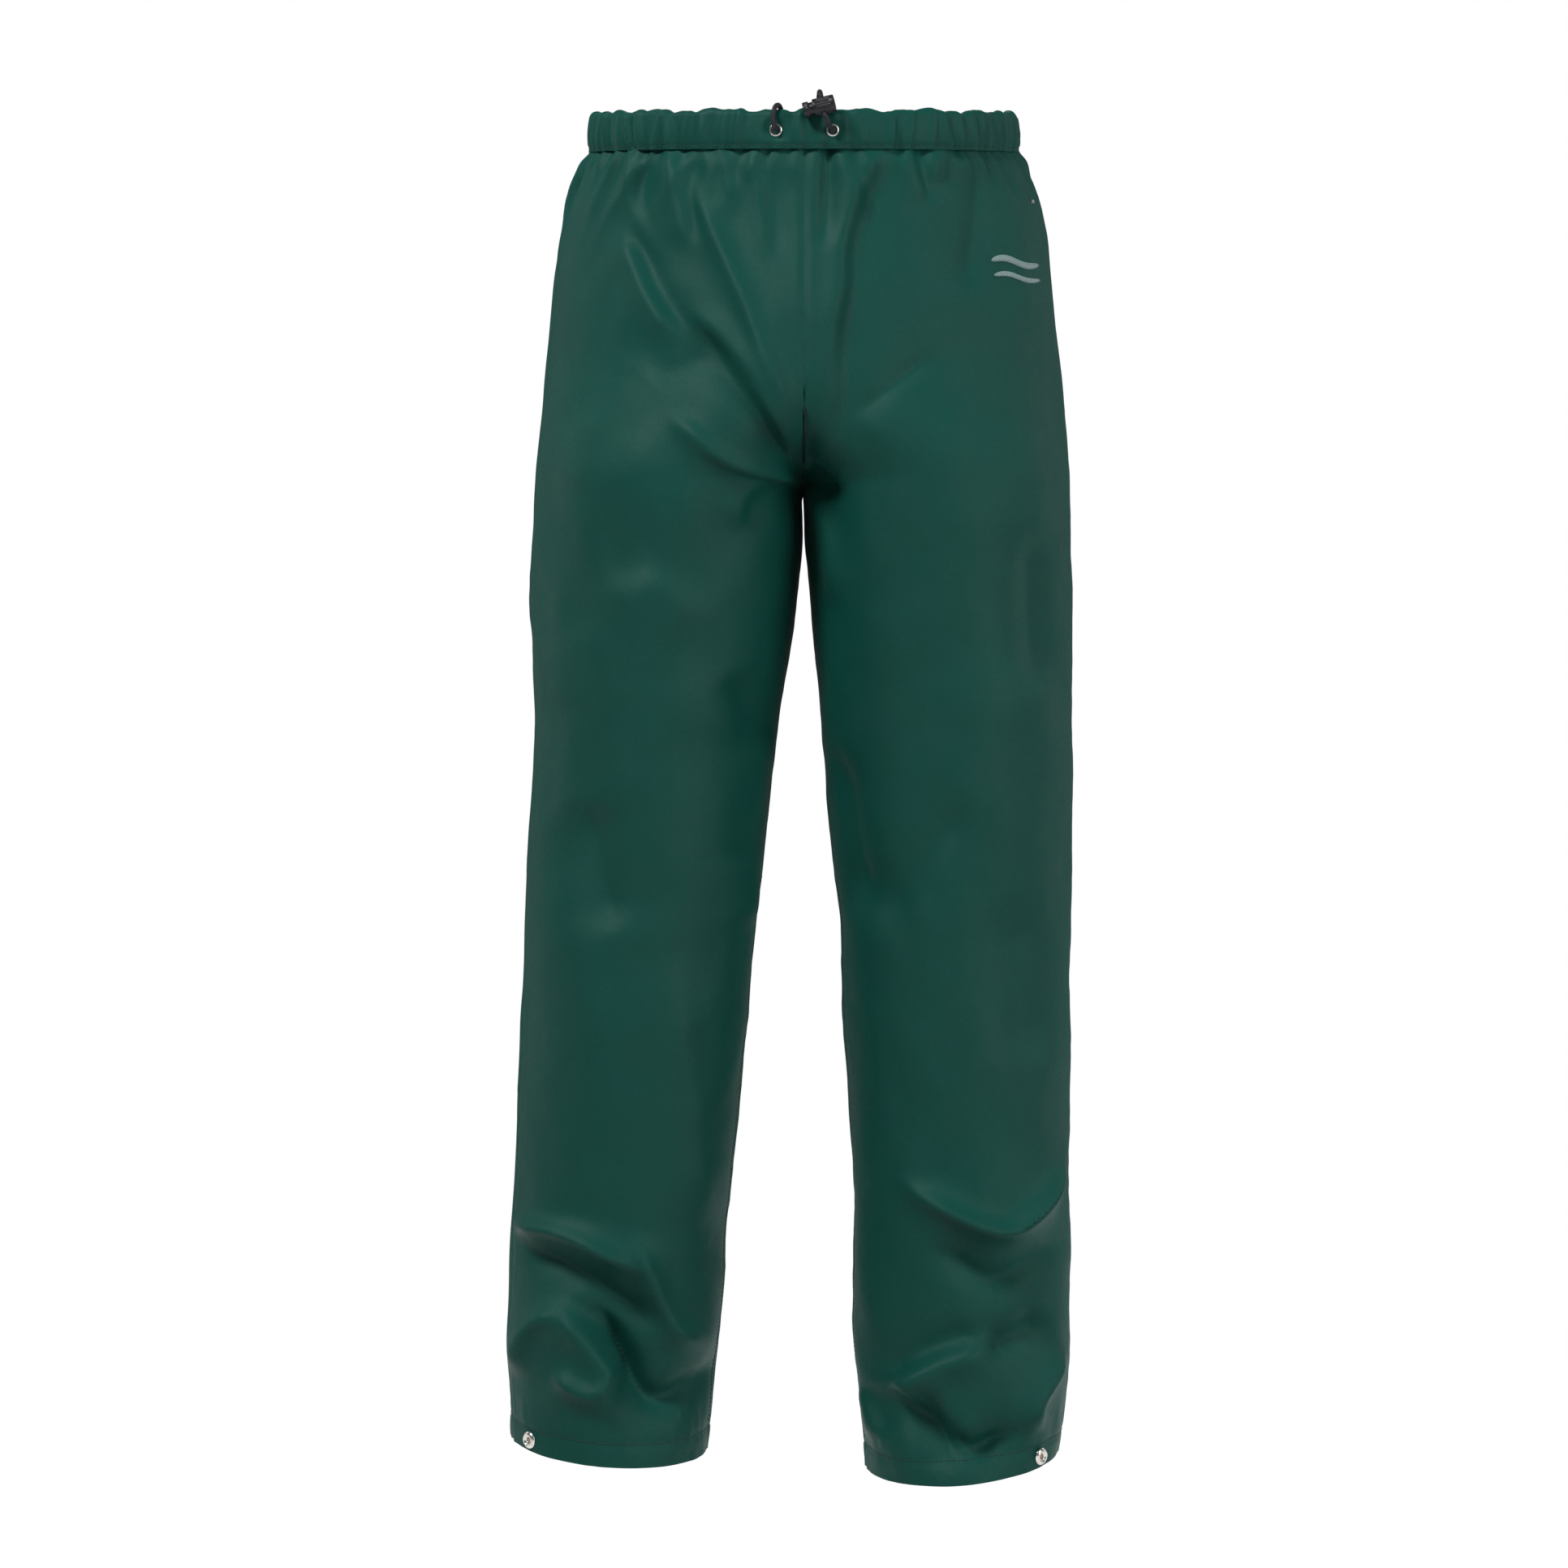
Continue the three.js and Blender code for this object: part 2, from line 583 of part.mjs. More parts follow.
const EYELET_SEGMENTS = 16;
const eyeletShape = () =>
  lathe([
    [EYELET_BORE, -WASHER_INSET - EYELET_SHEET],
    [EYELET_BARREL, -WASHER_INSET - EYELET_SHEET],
    [EYELET_BARREL, CLEARANCE],
    [EYELET_FLANGE, CLEARANCE],
    [EYELET_FLANGE - 0.5, CLEARANCE + EYELET_SHEET],
    [EYELET_BARREL, CLEARANCE + EYELET_SHEET + 0.2],
    [EYELET_BORE, CLEARANCE],
    [EYELET_BORE, -WASHER_INSET - EYELET_SHEET],
  ], EYELET_SEGMENTS);
const washerShape = () =>
  lathe([
    [EYELET_BARREL + CLEARANCE, -WASHER_INSET - EYELET_SHEET],
    [EYELET_FLANGE, -WASHER_INSET - EYELET_SHEET],
    [EYELET_FLANGE, -WASHER_INSET],
    [EYELET_BARREL + CLEARANCE, -WASHER_INSET],
    [EYELET_BARREL + CLEARANCE, -WASHER_INSET - EYELET_SHEET],
  ], EYELET_SEGMENTS);
for (const side of ["left", "right"]) {
  const { place, normal } = eyeletFrame(side);
  addToBand(`${side}_eyelet`, eyeletShape(), "nickel", pointing(place, normal));
  addToBand(`${side}_eyelet_washer`, washerShape(), "nickel", pointing(place, normal));
}

// The drawcord's held stretch: in through one eyelet, round the back inside the casing, and out through the other.
const CORD_SIDES = 8;
const CORD_TURN = 2.9; // radius of the turn inside each eyelet
function turnIn(side) {
  const { place, normal } = eyeletFrame(side);
  const along = new THREE.Vector3(-normal.y, normal.x, 0).multiplyScalar(SIDE_SIGN[side]);
  const at = (depth, lateral) => place.clone().addScaledVector(normal, -depth).addScaledVector(along, lateral);
  const start = CORD_INSET - CORD_TURN;
  const arc = Array.from({ length: 5 }, (_, i) => {
    const angle = (Math.PI * i) / 8;
    return at(start + CORD_TURN * Math.sin(angle), CORD_TURN * (1 - Math.cos(angle)));
  });
  return [at(-CLEARANCE, 0), ...arc];
}
function heldCordPath() {
  const first = EYELET_FACET + 0.5;
  const round = Array.from({ length: BAND_SIDES - 2 * first + 1 }, (_, i) =>
    new THREE.Vector3(...bandPoint(first + i, CORD_INSET, -EYELET_DEPTH)));
  return [...turnIn("left"), ...round, ...turnIn("right").reverse()];
}
addToBand("drawcord", tube(heldCordPath(), CORD_DIAMETER / 2, CORD_SIDES), "cord");

// ---------------------------------------------------------------- the drawcord's free ends and the cord lock
// Each end leaves its eyelet, passes over the top fold of the waistband and hangs down inside, ending in a knot.
// These points are in the waistband's own frame. The hanging stretch is plumb once the band has turned.
const LEFT_LEAD = [
  [22.15, -114.7, -16], [21.9, -118, -15.9], [20.8, -122.2, -14.8], [19.2, -125.4, -12], [17.6, -126.9, -8.2],
];
const LOCK_START = [15.95, -126.2, -4.3];
const LOCK_END = [13.25, -118.8, 8.7];
const LEFT_OVER = [
  [12.6, -115.2, 12.2], [12.1, -110.6, 13.6], [11.8, -105.8, 12.6], [11.6, -102, 9.4], [11.5, -100.4, 4.6],
  [11.6, -100.8, -6], [11.9, -101.2, -18], [12.4, -101.6, -32],
];
const RIGHT_OVER = [
  [-22.15, -114.7, -16], [-22.5, -117, -15.6], [-23.1, -119.2, -13.8], [-23.7, -120.1, -10.6],
  [-24, -119.8, -6.6], [-23.6, -118.7, -1.9], [-22.6, -116.2, 1.2], [-21.2, -112.6, 3], [-19.8, -108.8, 3.1],
  [-18.6, -105.2, 1.6], [-17.7, -102.6, -1.2], [-17.2, -101.4, -5.6], [-17, -101.2, -18], [-17.2, -101.6, -32],
];
const HANG = { left: 122, right: 126 };
const KNOT_RADIUS = 4.6;

function hanging(from, length) {
  const steps = 5;
  return Array.from({ length: steps }, (_, i) => {
    const drop = (length * (i + 1)) / steps;
    return [from[0] + 2 * Math.sin((2 * drop) / length), from[1] - WAIST_TILT * drop, from[2] - drop];
  });
}
const vectors = (points) => points.map((point) => new THREE.Vector3(...point));
const LEFT_END = [...LEFT_LEAD, LOCK_START, LOCK_END, ...LEFT_OVER, ...hanging(LEFT_OVER.at(-1), HANG.left)];
const RIGHT_END = [...RIGHT_OVER, ...hanging(RIGHT_OVER.at(-1), HANG.right)];
for (const [side, points] of [["left", LEFT_END], ["right", RIGHT_END]]) {
  addToBand(`${side}_cord_end`, tube(vectors(points), CORD_DIAMETER / 2, CORD_SIDES), "cord");
  const end = new THREE.Vector3(...points.at(-1));
  addToBand(`${side}_cord_knot`, new THREE.SphereGeometry(KNOT_RADIUS, 10, 7), "cord", (mesh) => {
    mesh.position.copy(end);
    mesh.position.z -= KNOT_RADIUS + CLEARANCE + 0.2;
  });
}

// The lock: a barrel with a cross hole for the cord, and a sprung button whose own slot slides past the cord.
const [LOCK_ENTRY, LOCK_EXIT] = vectors([LOCK_START, LOCK_END]);
const LOCK_CENTRE = LOCK_ENTRY.clone().lerp(LOCK_EXIT, 0.5); // where the cord crosses the barrel
const LOCK_CORD = LOCK_EXIT.clone().sub(LOCK_ENTRY).normalize();
const LOCK_SIDE = LOCK_CORD.clone().cross(new THREE.Vector3(0.94, 0, 0.34)).normalize();
const LOCK_AXIS = LOCK_SIDE.clone().cross(LOCK_CORD).normalize(); // from the button to the closed end
const HOLE_FROM_MOUTH = 7.5;
const BORE = LOCK_RADIUS - LOCK_WALL;
const SHAFT = BORE - CLEARANCE;
const SHAFT_LENGTH = LOCK_LENGTH - LOCK_FLOOR - BUTTON_TRAVEL - 1.2;

const barrelShape = () =>
  lathe([
    [BORE, 0],
    [LOCK_RADIUS - 0.7, 0],
    [LOCK_RADIUS, 0.7],
    [LOCK_RADIUS, LOCK_LENGTH - 1.5],
    [LOCK_RADIUS - 1.5, LOCK_LENGTH],
    [0, LOCK_LENGTH],
    [0, LOCK_LENGTH - LOCK_FLOOR],
    [BORE, LOCK_LENGTH - LOCK_FLOOR],
    [BORE, 0],
  ], 20);
// The button stands proud of the barrel's mouth by its travel.
const buttonShape = () =>
  lathe([
    [0, -BUTTON_TRAVEL - BUTTON_HEAD],
    [LOCK_RADIUS - 2, -BUTTON_TRAVEL - BUTTON_HEAD],
    [LOCK_RADIUS - 0.8, -BUTTON_TRAVEL - BUTTON_HEAD + 1],
    [LOCK_RADIUS - 0.8, -BUTTON_TRAVEL - CLEARANCE],
    [SHAFT, -BUTTON_TRAVEL - CLEARANCE],
    [SHAFT, SHAFT_LENGTH],
    [0, SHAFT_LENGTH],
  ], 20);

const holeTool = (from, to) => {
  const length = 2 * LOCK_RADIUS + 4;
  const ends = [from, to].map((along) =>
    new THREE.CylinderGeometry(LOCK_HOLE, LOCK_HOLE, length, 12).rotateX(Math.PI / 2).translate(0, along, 0));
  const middle = new THREE.BoxGeometry(2 * LOCK_HOLE, Math.max(0.01, to - from), length).translate(0, (from + to) / 2, 0);
  return geometryOf(solidOf(ends[0]).add(solidOf(ends[1])).add(solidOf(middle)));
};

// The lock's own frame: +Y along its axis and +Z along the cord.
const lock = new THREE.Group();
lock.quaternion.setFromRotationMatrix(
  new THREE.Matrix4().makeBasis(LOCK_AXIS.clone().cross(LOCK_CORD), LOCK_AXIS, LOCK_CORD),
);
lock.position.copy(LOCK_CENTRE).addScaledVector(LOCK_AXIS, -HOLE_FROM_MOUTH);
band.add(lock);

const barrel = cut(barrelShape(), holeTool(HOLE_FROM_MOUTH, HOLE_FROM_MOUTH + 0.02));
lock.add(add("cord_lock_barrel", barrel, "plastic"));
const button = cut(buttonShape(), holeTool(HOLE_FROM_MOUTH - BUTTON_TRAVEL, HOLE_FROM_MOUTH));
lock.add(add("cord_lock_button", button, "plastic"));

const SPRING_WIRE = 0.4;
function springPath() {
  const turns = 3;
  const perTurn = 10;
  const bottom = SHAFT_LENGTH + SPRING_WIRE + CLEARANCE;
  const top = LOCK_LENGTH - LOCK_FLOOR - SPRING_WIRE - CLEARANCE;
  return Array.from({ length: turns * perTurn + 1 }, (_, i) => {
    const angle = (2 * Math.PI * i) / perTurn;
    const rise = ((top - bottom) * i) / (turns * perTurn);
    return new THREE.Vector3((SHAFT - 1) * Math.cos(angle), bottom + rise, (SHAFT - 1) * Math.sin(angle));
  });
}
lock.add(add("cord_lock_spring", tube(springPath(), SPRING_WIRE, 6), "spring"));

// ---------------------------------------------------------------- labels and the hip print
// Two woven labels hanging inside the centre back of the waistband, the small one over the large one.
const LABEL_THICK = 0.8;
const LABEL_ROOM = 1; // clears the facets of the inner wall
const LABELS = [
  ["care_label", 34, 56, 0],
  ["size_label", 22, 24, 1],
];
for (const [name, width, height, layer] of LABELS) {
  const inside = WAIST_HALF_DEPTH - BAND_THICK - LABEL_ROOM - LABEL_THICK / 2 - layer * (LABEL_THICK + CLEARANCE);
  addToBand(name, new THREE.BoxGeometry(width, LABEL_THICK, height), "label", (mesh) =>
    mesh.position.set(0, inside, -BAND_HEIGHT + 12 - height / 2));
}

// A thin printed film lying along two facets on the wearer's left hip.
const PRINT = { row: 0.08, rowEnd: 0.7, columns: [2.15, 3, 3.85], film: 0.4 };
const seatRows = rowHeights(...STRETCHES[0].slice(1));
add("hip_print", layered(1, PRINT.columns.length - 1, (row, column, layer) => {
  const share = row === 0 ? PRINT.row : PRINT.rowEnd;
  const place = PRINT.columns[column];
  const [above, below] = [seatRows[2], seatRows[3]];
  const inset = -CLEARANCE - PRINT.film * (1 - layer);
  const corner = (z, c) => new THREE.Vector3(...columnPoint("left", "front", z, c, inset));
  const upper = corner(above, Math.floor(place)).lerp(corner(above, Math.ceil(place)), place - Math.floor(place));
  const lower = corner(below, Math.floor(place)).lerp(corner(below, Math.ceil(place)), place - Math.floor(place));
  return upper.lerp(lower, share).toArray();
}), "print");

export default parts;
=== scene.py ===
# Waterproof over-trousers, drawn in at the waist by an elastic and a cord. All sizes are in metres.
import itertools
import json
import math

import bmesh
import bpy
import numpy as np
from mathutils import Matrix, Vector

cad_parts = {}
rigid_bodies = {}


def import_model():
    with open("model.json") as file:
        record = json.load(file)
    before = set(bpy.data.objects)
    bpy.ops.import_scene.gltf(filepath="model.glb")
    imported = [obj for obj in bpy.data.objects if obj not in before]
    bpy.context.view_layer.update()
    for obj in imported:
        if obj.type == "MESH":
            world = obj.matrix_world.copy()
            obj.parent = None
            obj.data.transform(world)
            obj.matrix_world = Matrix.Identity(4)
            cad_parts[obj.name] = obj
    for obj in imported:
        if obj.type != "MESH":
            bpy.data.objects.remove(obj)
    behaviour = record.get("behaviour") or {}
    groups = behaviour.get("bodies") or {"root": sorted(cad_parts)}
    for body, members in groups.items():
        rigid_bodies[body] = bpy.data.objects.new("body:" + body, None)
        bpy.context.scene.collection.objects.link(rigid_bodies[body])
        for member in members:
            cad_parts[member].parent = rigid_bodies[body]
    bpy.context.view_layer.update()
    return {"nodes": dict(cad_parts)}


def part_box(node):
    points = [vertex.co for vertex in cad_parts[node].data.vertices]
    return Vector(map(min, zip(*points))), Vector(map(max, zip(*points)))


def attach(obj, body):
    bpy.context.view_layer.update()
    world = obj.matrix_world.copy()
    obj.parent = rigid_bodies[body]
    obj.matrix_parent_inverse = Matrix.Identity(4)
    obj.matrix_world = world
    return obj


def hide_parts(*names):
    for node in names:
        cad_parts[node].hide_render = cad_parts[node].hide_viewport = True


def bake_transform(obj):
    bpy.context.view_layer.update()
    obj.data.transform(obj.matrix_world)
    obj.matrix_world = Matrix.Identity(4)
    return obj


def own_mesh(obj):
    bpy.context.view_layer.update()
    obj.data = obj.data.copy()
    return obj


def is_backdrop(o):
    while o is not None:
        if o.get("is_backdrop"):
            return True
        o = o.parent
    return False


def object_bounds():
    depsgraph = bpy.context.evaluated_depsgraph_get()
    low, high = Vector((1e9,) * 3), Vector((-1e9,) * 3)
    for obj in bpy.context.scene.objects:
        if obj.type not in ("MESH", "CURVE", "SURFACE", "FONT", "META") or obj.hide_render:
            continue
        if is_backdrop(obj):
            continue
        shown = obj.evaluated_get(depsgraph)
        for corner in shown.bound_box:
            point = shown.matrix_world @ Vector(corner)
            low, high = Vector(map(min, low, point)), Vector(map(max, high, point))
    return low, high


for start_up in list(bpy.data.objects):
    bpy.data.objects.remove(start_up)
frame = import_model()

# ---------------------------------------------------------------- camera
LENS = 115  # millimetres, on a sensor 36 mm wide
CAMERA_AT = (-0.0156, -4.0, -0.535)
camera = bpy.data.objects.new("camera", bpy.data.cameras.new("camera"))
camera.data.sensor_width = 36
camera.data.lens = LENS
camera.location = CAMERA_AT
camera.rotation_euler = (math.pi / 2, 0, 0)
bpy.context.scene.collection.objects.link(camera)
bpy.context.scene.camera = camera

# ---------------------------------------------------------------- dimensions shared with the frame
# x points to the wearer's left, -y to the front, and z = 0 is the top of the waistband.
WAIST_W, WAIST_D = 0.170, 0.115  # half width and half depth
TILT = math.atan(0.1)  # the waistband is higher at the back
BAND_H = 0.030
BAND_T = 0.0102
CROTCH = -0.301
HIP = -0.190
HEM = -1.066
LEAN = {"left": -0.013, "right": 0.013}  # how far each hem hangs out of line
DROP = {"left": 0.007, "right": -0.007}
SIGN = {"left": 1, "right": -1}
SPLIT = -0.575  # where a leg's cloth is divided, above the knee
BAND = Matrix.Rotation(TILT, 4, "X")


# ---------------------------------------------------------------- node helpers
class Shader:
    """A principled material with its node tree at hand."""

    def __init__(self, name, color, roughness, **inputs):
        self.material = bpy.data.materials.new(name)
        self.material.use_nodes = True
        self.tree = self.material.node_tree
        self.bsdf = self.tree.nodes["Principled BSDF"]
        self.set("Base Color", (*color, 1))
        self.set("Roughness", roughness)
        for key, value in inputs.items():
            self.set(key.replace("_", " "), value)

    def set(self, key, value):
        self.bsdf.inputs[key].default_value = value

    def node(self, kind, links=None, **settings):
        node = self.tree.nodes.new(kind)
        for key, value in settings.items():
            setattr(node, key, value)
        for key, value in (links or {}).items():
            if isinstance(value, bpy.types.NodeSocket):
                self.tree.links.new(value, node.inputs[key])
            else:
                node.inputs[key].default_value = value
        return node

    def link(self, socket, key):
        self.tree.links.new(socket, self.bsdf.inputs[key])

    def coordinates(self, kind="Object"):
        return self.node("ShaderNodeTexCoord").outputs[kind]

    def noise(self, scale, detail=3.0, where=None, roughness=0.55):
        where = where or self.coordinates()
        settings = {"Vector": where, "Scale": scale, "Detail": detail, "Roughness": roughness}
        return self.node("ShaderNodeTexNoise", settings).outputs["Fac"]

    def stretched(self, where, factors):
        return self.node("ShaderNodeMapping", {"Vector": where, "Scale": factors}).outputs["Vector"]

    def range(self, value, low, high, out_low=0.0, out_high=1.0):
        links = {"Value": value, "From Min": low, "From Max": high, "To Min": out_low, "To Max": out_high}
        return self.node("ShaderNodeMapRange", links).outputs["Result"]

    def math(self, operation, a, b=0.0):
        return self.node("ShaderNodeMath", {0: a, 1: b}, operation=operation).outputs[0]

    def mix(self, factor, a, b):
        node = self.node("ShaderNodeMix", {"Factor": factor}, data_type="RGBA")
        for socket, value in ((node.inputs[6], a), (node.inputs[7], b)):
            if isinstance(value, bpy.types.NodeSocket):
                self.tree.links.new(value, socket)
            else:
                socket.default_value = (*value, 1)
        return node.outputs[2]

    def bump(self, height, distance, strength=1.0, onto=None):
        links = {"Height": height, "Distance": distance, "Strength": strength}
        if onto:
            links["Normal"] = onto
        return self.node("ShaderNodeBump", links).outputs["Normal"]


def weave(shader, pitch, where):
    """Height of a plain weave of that pitch, over coordinates in metres."""
    parts = shader.node("ShaderNodeSeparateXYZ", {"Vector": where}).outputs
    turn = 2 * math.pi / pitch
    across = shader.math("SINE", shader.math("MULTIPLY", parts[0], turn))
    along = shader.math("SINE", shader.math("MULTIPLY", parts[1], turn))
    return shader.math("MULTIPLY", across, along)


def cloth_material(name, color, dull, roughness, sheen):
    """Coated cloth: fine knit under a soft film, with faint handling marks."""
    s = Shader(name, color, roughness, Sheen_Weight=sheen, Sheen_Roughness=0.30)
    s.set("Sheen Tint", (0.62, 0.75, 0.70, 1))
    s.set("Specular IOR Level", 0.20)
    place = s.coordinates()
    uv = s.coordinates("UV")
    patches = s.range(s.noise(9, 4, place), 0.32, 0.70)
    flecks = s.range(s.noise(420, 2, place), 0.35, 0.70)
    tone = s.mix(patches, color, dull)
    s.link(s.mix(s.math("MULTIPLY", flecks, 0.22), tone, tuple(0.62 * c for c in color)), "Base Color")
    rough = s.math("ADD", s.range(s.noise(28, 3, place), 0.3, 0.7, -0.06, 0.06), roughness)
    s.link(s.math("ADD", rough, s.math("MULTIPLY", flecks, 0.06)), "Roughness")
    knit = weave(s, 0.0011, uv)
    fine = s.bump(knit, 0.00006, 0.7)
    grain = s.bump(s.noise(650, 2, place), 0.00012, 0.6, fine)
    s.link(s.bump(s.noise(55, 3, place), 0.0006, 0.5, grain), "Normal")
    return s.material


GREEN = (0.0035, 0.096, 0.074)
CLOTH_MAT = cloth_material("coated_cloth", GREEN, (0.0060, 0.086, 0.068), 0.50, 0.06)
INSIDE_MAT = cloth_material("cloth_backing", (0.010, 0.050, 0.040), (0.013, 0.046, 0.038), 0.85, 0.10)
TAPE_MAT = cloth_material("seam_tape", (0.014, 0.045, 0.038), (0.016, 0.040, 0.036), 0.40, 0.0)


def thread_material(name, color):
    """Sewing thread, with the bands of its twist."""
    s = Shader(name, color, 0.6, Sheen_Weight=0.3)
    twist = s.node("ShaderNodeTexWave", {"Vector": s.coordinates(), "Scale": 900.0, "Distortion": 1.0})
    s.link(s.bump(twist.outputs["Fac"], 0.0001, 0.6), "Normal")
    s.link(s.mix(twist.outputs["Fac"], color, tuple(0.6 * c for c in color)), "Base Color")
    return s.material


THREAD_MAT = thread_material("thread", (0.008, 0.060, 0.045))
TACK_MAT = thread_material("bartack_thread", (0.72, 0.74, 0.72))


def cord_material():
    """Black braid: fine fibres with paler flecks, under the braid that is modelled."""
    s = Shader("braided_cord", (0.006, 0.006, 0.009), 0.62, Sheen_Weight=0.35, Sheen_Roughness=0.4)
    s.set("Sheen Tint", (0.5, 0.5, 0.65, 1))
    uv = s.coordinates("UV")
    fibres = s.noise(2600, 2, s.stretched(uv, (1, 0.25, 1)))
    s.link(s.mix(s.range(fibres, 0.35, 0.7), (0.004, 0.004, 0.006), (0.020, 0.019, 0.028)), "Base Color")
    s.link(s.bump(fibres, 0.0002, 0.8), "Normal")
    return s.material


CORD_MAT = cord_material()


def moulded_material():
    """Black moulded plastic with a fine spark grain and uneven gloss."""
    s = Shader("moulded_plastic", (0.010, 0.010, 0.014), 0.36)
    place = s.coordinates()
    grain = s.noise(1500, 2, place)
    s.link(s.range(s.noise(120, 3, place), 0.3, 0.7, 0.30, 0.46), "Roughness")
    s.link(s.mix(grain, (0.008, 0.008, 0.011), (0.016, 0.015, 0.020)), "Base Color")
    s.link(s.bump(grain, 0.00005, 0.5), "Normal")
    return s.material


PLASTIC_MAT = moulded_material()


def metal_material(name, color, dark, roughness):
    """Plated metal with faint duller stains."""
    s = Shader(name, color, roughness, Metallic=1.0)
    place = s.coordinates()
    stain = s.range(s.noise(260, 4, place), 0.40, 0.75)
    s.link(s.mix(stain, color, dark), "Base Color")
    s.link(s.math("ADD", s.math("MULTIPLY", stain, 0.16), roughness), "Roughness")
    s.link(s.bump(s.noise(1800, 2, place), 0.00003, 0.4), "Normal")
    return s.material


NICKEL_MAT = metal_material("nickel_plate", (0.80, 0.78, 0.74), (0.52, 0.49, 0.44), 0.20)
POST_MAT = metal_material("snap_centre", (0.42, 0.34, 0.26), (0.20, 0.15, 0.11), 0.35)
STEEL_MAT = metal_material("spring_steel", (0.42, 0.42, 0.42), (0.26, 0.25, 0.24), 0.32)


def woven_material(name, color, dark, pitch):
    """A plain uncoated weave of that pitch."""
    s = Shader(name, color, 0.75, Sheen_Weight=0.25)
    uv = s.coordinates("UV")
    cloth = weave(s, pitch, uv)
    blend = s.range(s.math("ADD", cloth, s.noise(300, 3, uv)), -0.6, 1.6)
    s.link(s.mix(blend, dark, color), "Base Color")
    s.link(s.bump(cloth, 0.0001, 0.8), "Normal")
    return s.material


LABEL_MAT = woven_material("woven_label", (0.78, 0.78, 0.75), (0.60, 0.60, 0.57), 0.0008)
ELASTIC_MAT = woven_material("knitted_elastic", (0.70, 0.70, 0.66), (0.48, 0.48, 0.45), 0.0012)


def print_material():
    """Grey print, a little worn through."""
    s = Shader("printed_film", (0.33, 0.44, 0.45), 0.42)
    worn = s.range(s.noise(900, 3), 0.42, 0.62)
    s.link(s.mix(worn, (0.35, 0.46, 0.47), (0.20, 0.32, 0.31)), "Base Color")
    s.link(s.bump(s.noise(900, 2), 0.00008, 0.5), "Normal")
    return s.material


PRINT_MAT = print_material()


# ---------------------------------------------------------------- mesh helpers
def smoothstep(t):
    """From 0 to 1 with level ends, as t goes from 0 to 1."""
    t = np.clip(t, 0, 1)
    return t * t * (3 - 2 * t)


def metres(*points):
    """The points of an outline or a line, from millimetres."""
    return [tuple(value / 1000 for value in point) for point in points]


def unit(vectors):
    """The vectors, each one unit long."""
    return vectors / np.linalg.norm(vectors, axis=-1, keepdims=True)


def run_along(path):
    """How far along a path each of its points lies."""
    return np.concatenate([[0], np.cumsum(np.linalg.norm(np.diff(path, axis=0), axis=1))])


def between(a, b, c, d, t):
    """The smooth curve from b to c, for the point a before them and the point d after them."""
    bend = (2 * a - 5 * b + 4 * c - d) * t * t + (3 * b - a - 3 * c + d) * t ** 3
    return 0.5 * (2 * b + (c - a) * t + bend)


def past_ends(line):
    """The line with one more point beyond each of its ends."""
    return np.vstack([2 * line[0] - line[1], line, 2 * line[-1] - line[-2]])


def mesh_object(name, points, faces, materials, kinds=None, uvs=None, normals=None, corners=None):
    """A new mesh object. kinds holds a material index for each face, and uvs a pair for each vertex, or for
    each number in corners, which lists one for every face corner."""
    mesh = bpy.data.meshes.new(name)
    mesh.from_pydata([tuple(p) for p in points], [], [tuple(int(i) for i in f) for f in faces])
    for material in materials if isinstance(materials, (list, tuple)) else [materials]:
        mesh.materials.append(material)
    if kinds is not None:
        mesh.polygons.foreach_set("material_index", np.asarray(kinds, np.int32))
    mesh.polygons.foreach_set("use_smooth", np.full(len(mesh.polygons), True))
    if uvs is not None:
        layer = mesh.uv_layers.new(name="UVMap")
        loops = corners
        if corners is None:
            loops = np.empty(len(mesh.loops), np.int32)
            mesh.loops.foreach_get("vertex_index", loops)
        layer.data.foreach_set("uv", np.asarray(uvs, np.float32)[loops].ravel())
    if normals is not None:
        mesh.normals_split_custom_set_from_vertices([tuple(n) for n in normals])
    mesh.update()
    obj = bpy.data.objects.new(name, mesh)
    bpy.context.scene.collection.objects.link(obj)
    return obj


def grid_faces(rows, columns, wrap_rows=False, wrap_columns=False):
    """Quads of a grid of points stored row by row."""
    r = np.arange(rows if wrap_rows else rows - 1)
    c = np.arange(columns if wrap_columns else columns - 1)
    r, c = np.meshgrid(r, c, indexing="ij")
    r2, c2 = (r + 1) % rows, (c + 1) % columns
    quads = np.stack([r * columns + c, r2 * columns + c, r2 * columns + c2, r * columns + c2], -1)
    return quads.reshape(-1, 4)


def capped_faces(rings, sides):
    """Faces of a tube of that many rings of points, with both its ends closed."""
    last = (rings - 1) * sides
    return [*grid_faces(rings, sides, wrap_columns=True), range(sides), range(last, last + sides)[::-1]]


def slab_faces(rows, columns):
    """Faces of a thin slab, whose points are its front grid and then its back grid."""
    count = rows * columns
    front = grid_faces(rows, columns)
    border = [*range(columns), *range(2 * columns - 1, count, columns)]
    border += [*range(count - 2, count - columns - 1, -1), *range(count - 2 * columns, 0, -columns)]
    edge = [(a, b, b + count, a + count) for a, b in zip(border, border[1:] + border[:1])]
    return np.concatenate([front, front[:, ::-1] + count, edge])


def turned_out(obj):
    """Turns a closed mesh's faces outward."""
    work = bmesh.new()
    work.from_mesh(obj.data)
    bmesh.ops.recalc_face_normals(work, faces=work.faces)
    work.to_mesh(obj.data)
    work.free()
    return obj


def merge(name, objects):
    """One object made of several, with their materials."""
    bpy.ops.object.select_all(action="DESELECT")
    for o in objects:
        o.select_set(True)
    bpy.context.view_layer.objects.active = objects[0]
    bpy.ops.object.join()
    objects[0].name = name
    return objects[0]


